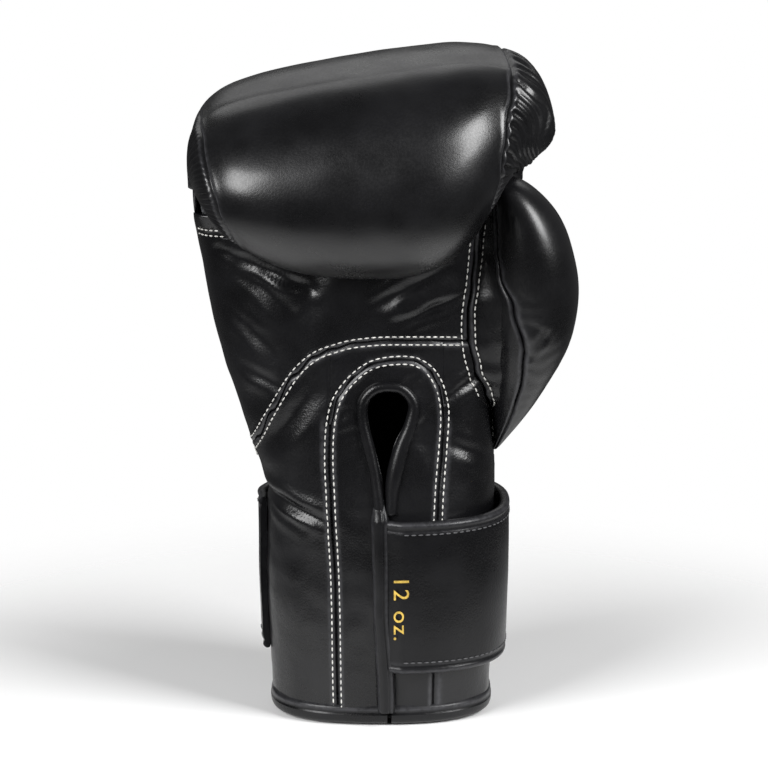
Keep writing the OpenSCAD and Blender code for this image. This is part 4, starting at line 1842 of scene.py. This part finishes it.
class GLOVE_OT_stage(bpy.types.Operator):
    """Adds the pale floor, the soft lights and the camera"""

    bl_idname = "glove.stage"
    bl_label = "Stage"

    def execute(self, context):
        scene = context.scene
        lo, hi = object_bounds()
        lo, hi = Vector(lo), Vector(hi)
        middle = (lo + hi) / 2
        bm = bmesh.new()
        bmesh.ops.create_circle(
            bm, cap_ends=True, segments=96, radius=0.75,
            matrix=Matrix.Translation((0, 0, lo.z - 0.0005)),
        )
        floor = new_object("Studio_Floor", bm, [self.floor_material()], None)
        floor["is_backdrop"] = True
        self.lamp("Left_Softbox", (-0.88, -0.90, 0.76), middle, 0.72, 0.85, 23)
        self.lamp("Right_Softbox", (0.98, -0.62, 0.82), middle, 0.55, 0.80, 22)
        self.lamp("Back_Softbox", (0.0, 1.30, 0.95), middle, 1.4, 0.6, 2)
        self.sky(scene)
        view = bpy.data.cameras.new("Camera")
        view.lens, view.sensor_width, view.clip_end = 320, 36, 20
        camera = bpy.data.objects.new("Camera", view)
        tilt, away = radians(15), 3.0
        camera.location = middle + Vector((0, -away * cos(tilt), away * sin(tilt)))
        camera.rotation_euler = (middle - camera.location).to_track_quat("-Z", "Y").to_euler()
        scene.collection.objects.link(camera)
        scene.camera = camera
        scene.view_settings.view_transform = "Standard"
        return {"FINISHED"}

    def lamp(self, name, place, aim, wide_m, tall_m, watts):
        light = bpy.data.lights.new(name, "AREA")
        light.shape, light.size, light.size_y = "RECTANGLE", wide_m, tall_m
        light.energy = watts
        lamp = bpy.data.objects.new(name, light)
        lamp.location = place
        lamp.rotation_euler = (aim - Vector(place)).to_track_quat("-Z", "Y").to_euler()
        bpy.context.scene.collection.objects.link(lamp)
        lamp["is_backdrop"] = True

    def floor_material(self):
        n, c = Nodes("studio_floor"), looks()
        where = n.point()
        cloud = n.noise(where, 3.0, 2.0)
        base = n.blend(n.step(cloud, 0.2, 0.8), rgba(c.floor, 0.985), rgba(c.floor))
        away = n.out(n.add("ShaderNodeVectorMath", {"operation": "LENGTH"}, {0: where}), 1)
        fade = n.step(away, 0.12, 0.32, 1.0, 0.0)
        return n.surface(
            Base_Color=base, Roughness=0.55, Specular_IOR_Level=0.25, Alpha=fade,
        )

    def sky(self, scene):
        world = bpy.data.worlds.new("Studio") if scene.world is None else scene.world
        scene.world = world
        world.use_nodes = True
        tree = world.node_tree
        tree.nodes.clear()
        path = tree.nodes.new("ShaderNodeLightPath")
        seen = tree.nodes.new("ShaderNodeBackground")
        seen.inputs[0].default_value = (1, 1, 1, 1)
        seen.inputs[1].default_value = 1.0
        fill = tree.nodes.new("ShaderNodeBackground")
        fill.inputs[0].default_value = (1, 1, 1, 1)
        fill.inputs[1].default_value = 0.07
        pick = tree.nodes.new("ShaderNodeMixShader")
        out = tree.nodes.new("ShaderNodeOutputWorld")
        tree.links.new(path.outputs["Is Camera Ray"], pick.inputs[0])
        tree.links.new(fill.outputs[0], pick.inputs[1])
        tree.links.new(seen.outputs[0], pick.inputs[2])
        tree.links.new(pick.outputs[0], out.inputs[0])


# ---- Add-on -----------------------------------------------------------------


class GLOVE_PT_panel(bpy.types.Panel):
    """Lists the glove's steps in the sidebar"""

    bl_label = "Boxing Glove"
    bl_idname = "GLOVE_PT_panel"
    bl_space_type = "VIEW_3D"
    bl_region_type = "UI"
    bl_category = "Glove"

    def draw(self, context):
        for step in STEPS:
            self.layout.operator(step.bl_idname)
        sizes, shades = context.scene.glove_sizes, context.scene.glove_looks
        for name in sizes.__annotations__:
            self.layout.prop(sizes, name)
        for name in shades.__annotations__:
            self.layout.prop(shades, name)


STEPS = (
    GLOVE_OT_fist, GLOVE_OT_palm, GLOVE_OT_edges, GLOVE_OT_padding, GLOVE_OT_linings,
    GLOVE_OT_bar, GLOVE_OT_thumb, GLOVE_OT_web, GLOVE_OT_strap, GLOVE_OT_seams,
    GLOVE_OT_weight, GLOVE_OT_stage,
)
CLASSES = (GloveSizes, GloveLooks) + STEPS + (GLOVE_PT_panel,)


def register():
    for cls in CLASSES:
        bpy.utils.register_class(cls)
    bpy.types.Scene.glove_sizes = PointerProperty(type=GloveSizes)
    bpy.types.Scene.glove_looks = PointerProperty(type=GloveLooks)


def unregister():
    del bpy.types.Scene.glove_looks
    del bpy.types.Scene.glove_sizes
    for cls in reversed(CLASSES):
        bpy.utils.unregister_class(cls)


def main():
    register()
    for step in STEPS:
        group, name = step.bl_idname.split(".")
        getattr(getattr(bpy.ops, group), name)()


if __name__ == "__main__":
    main()
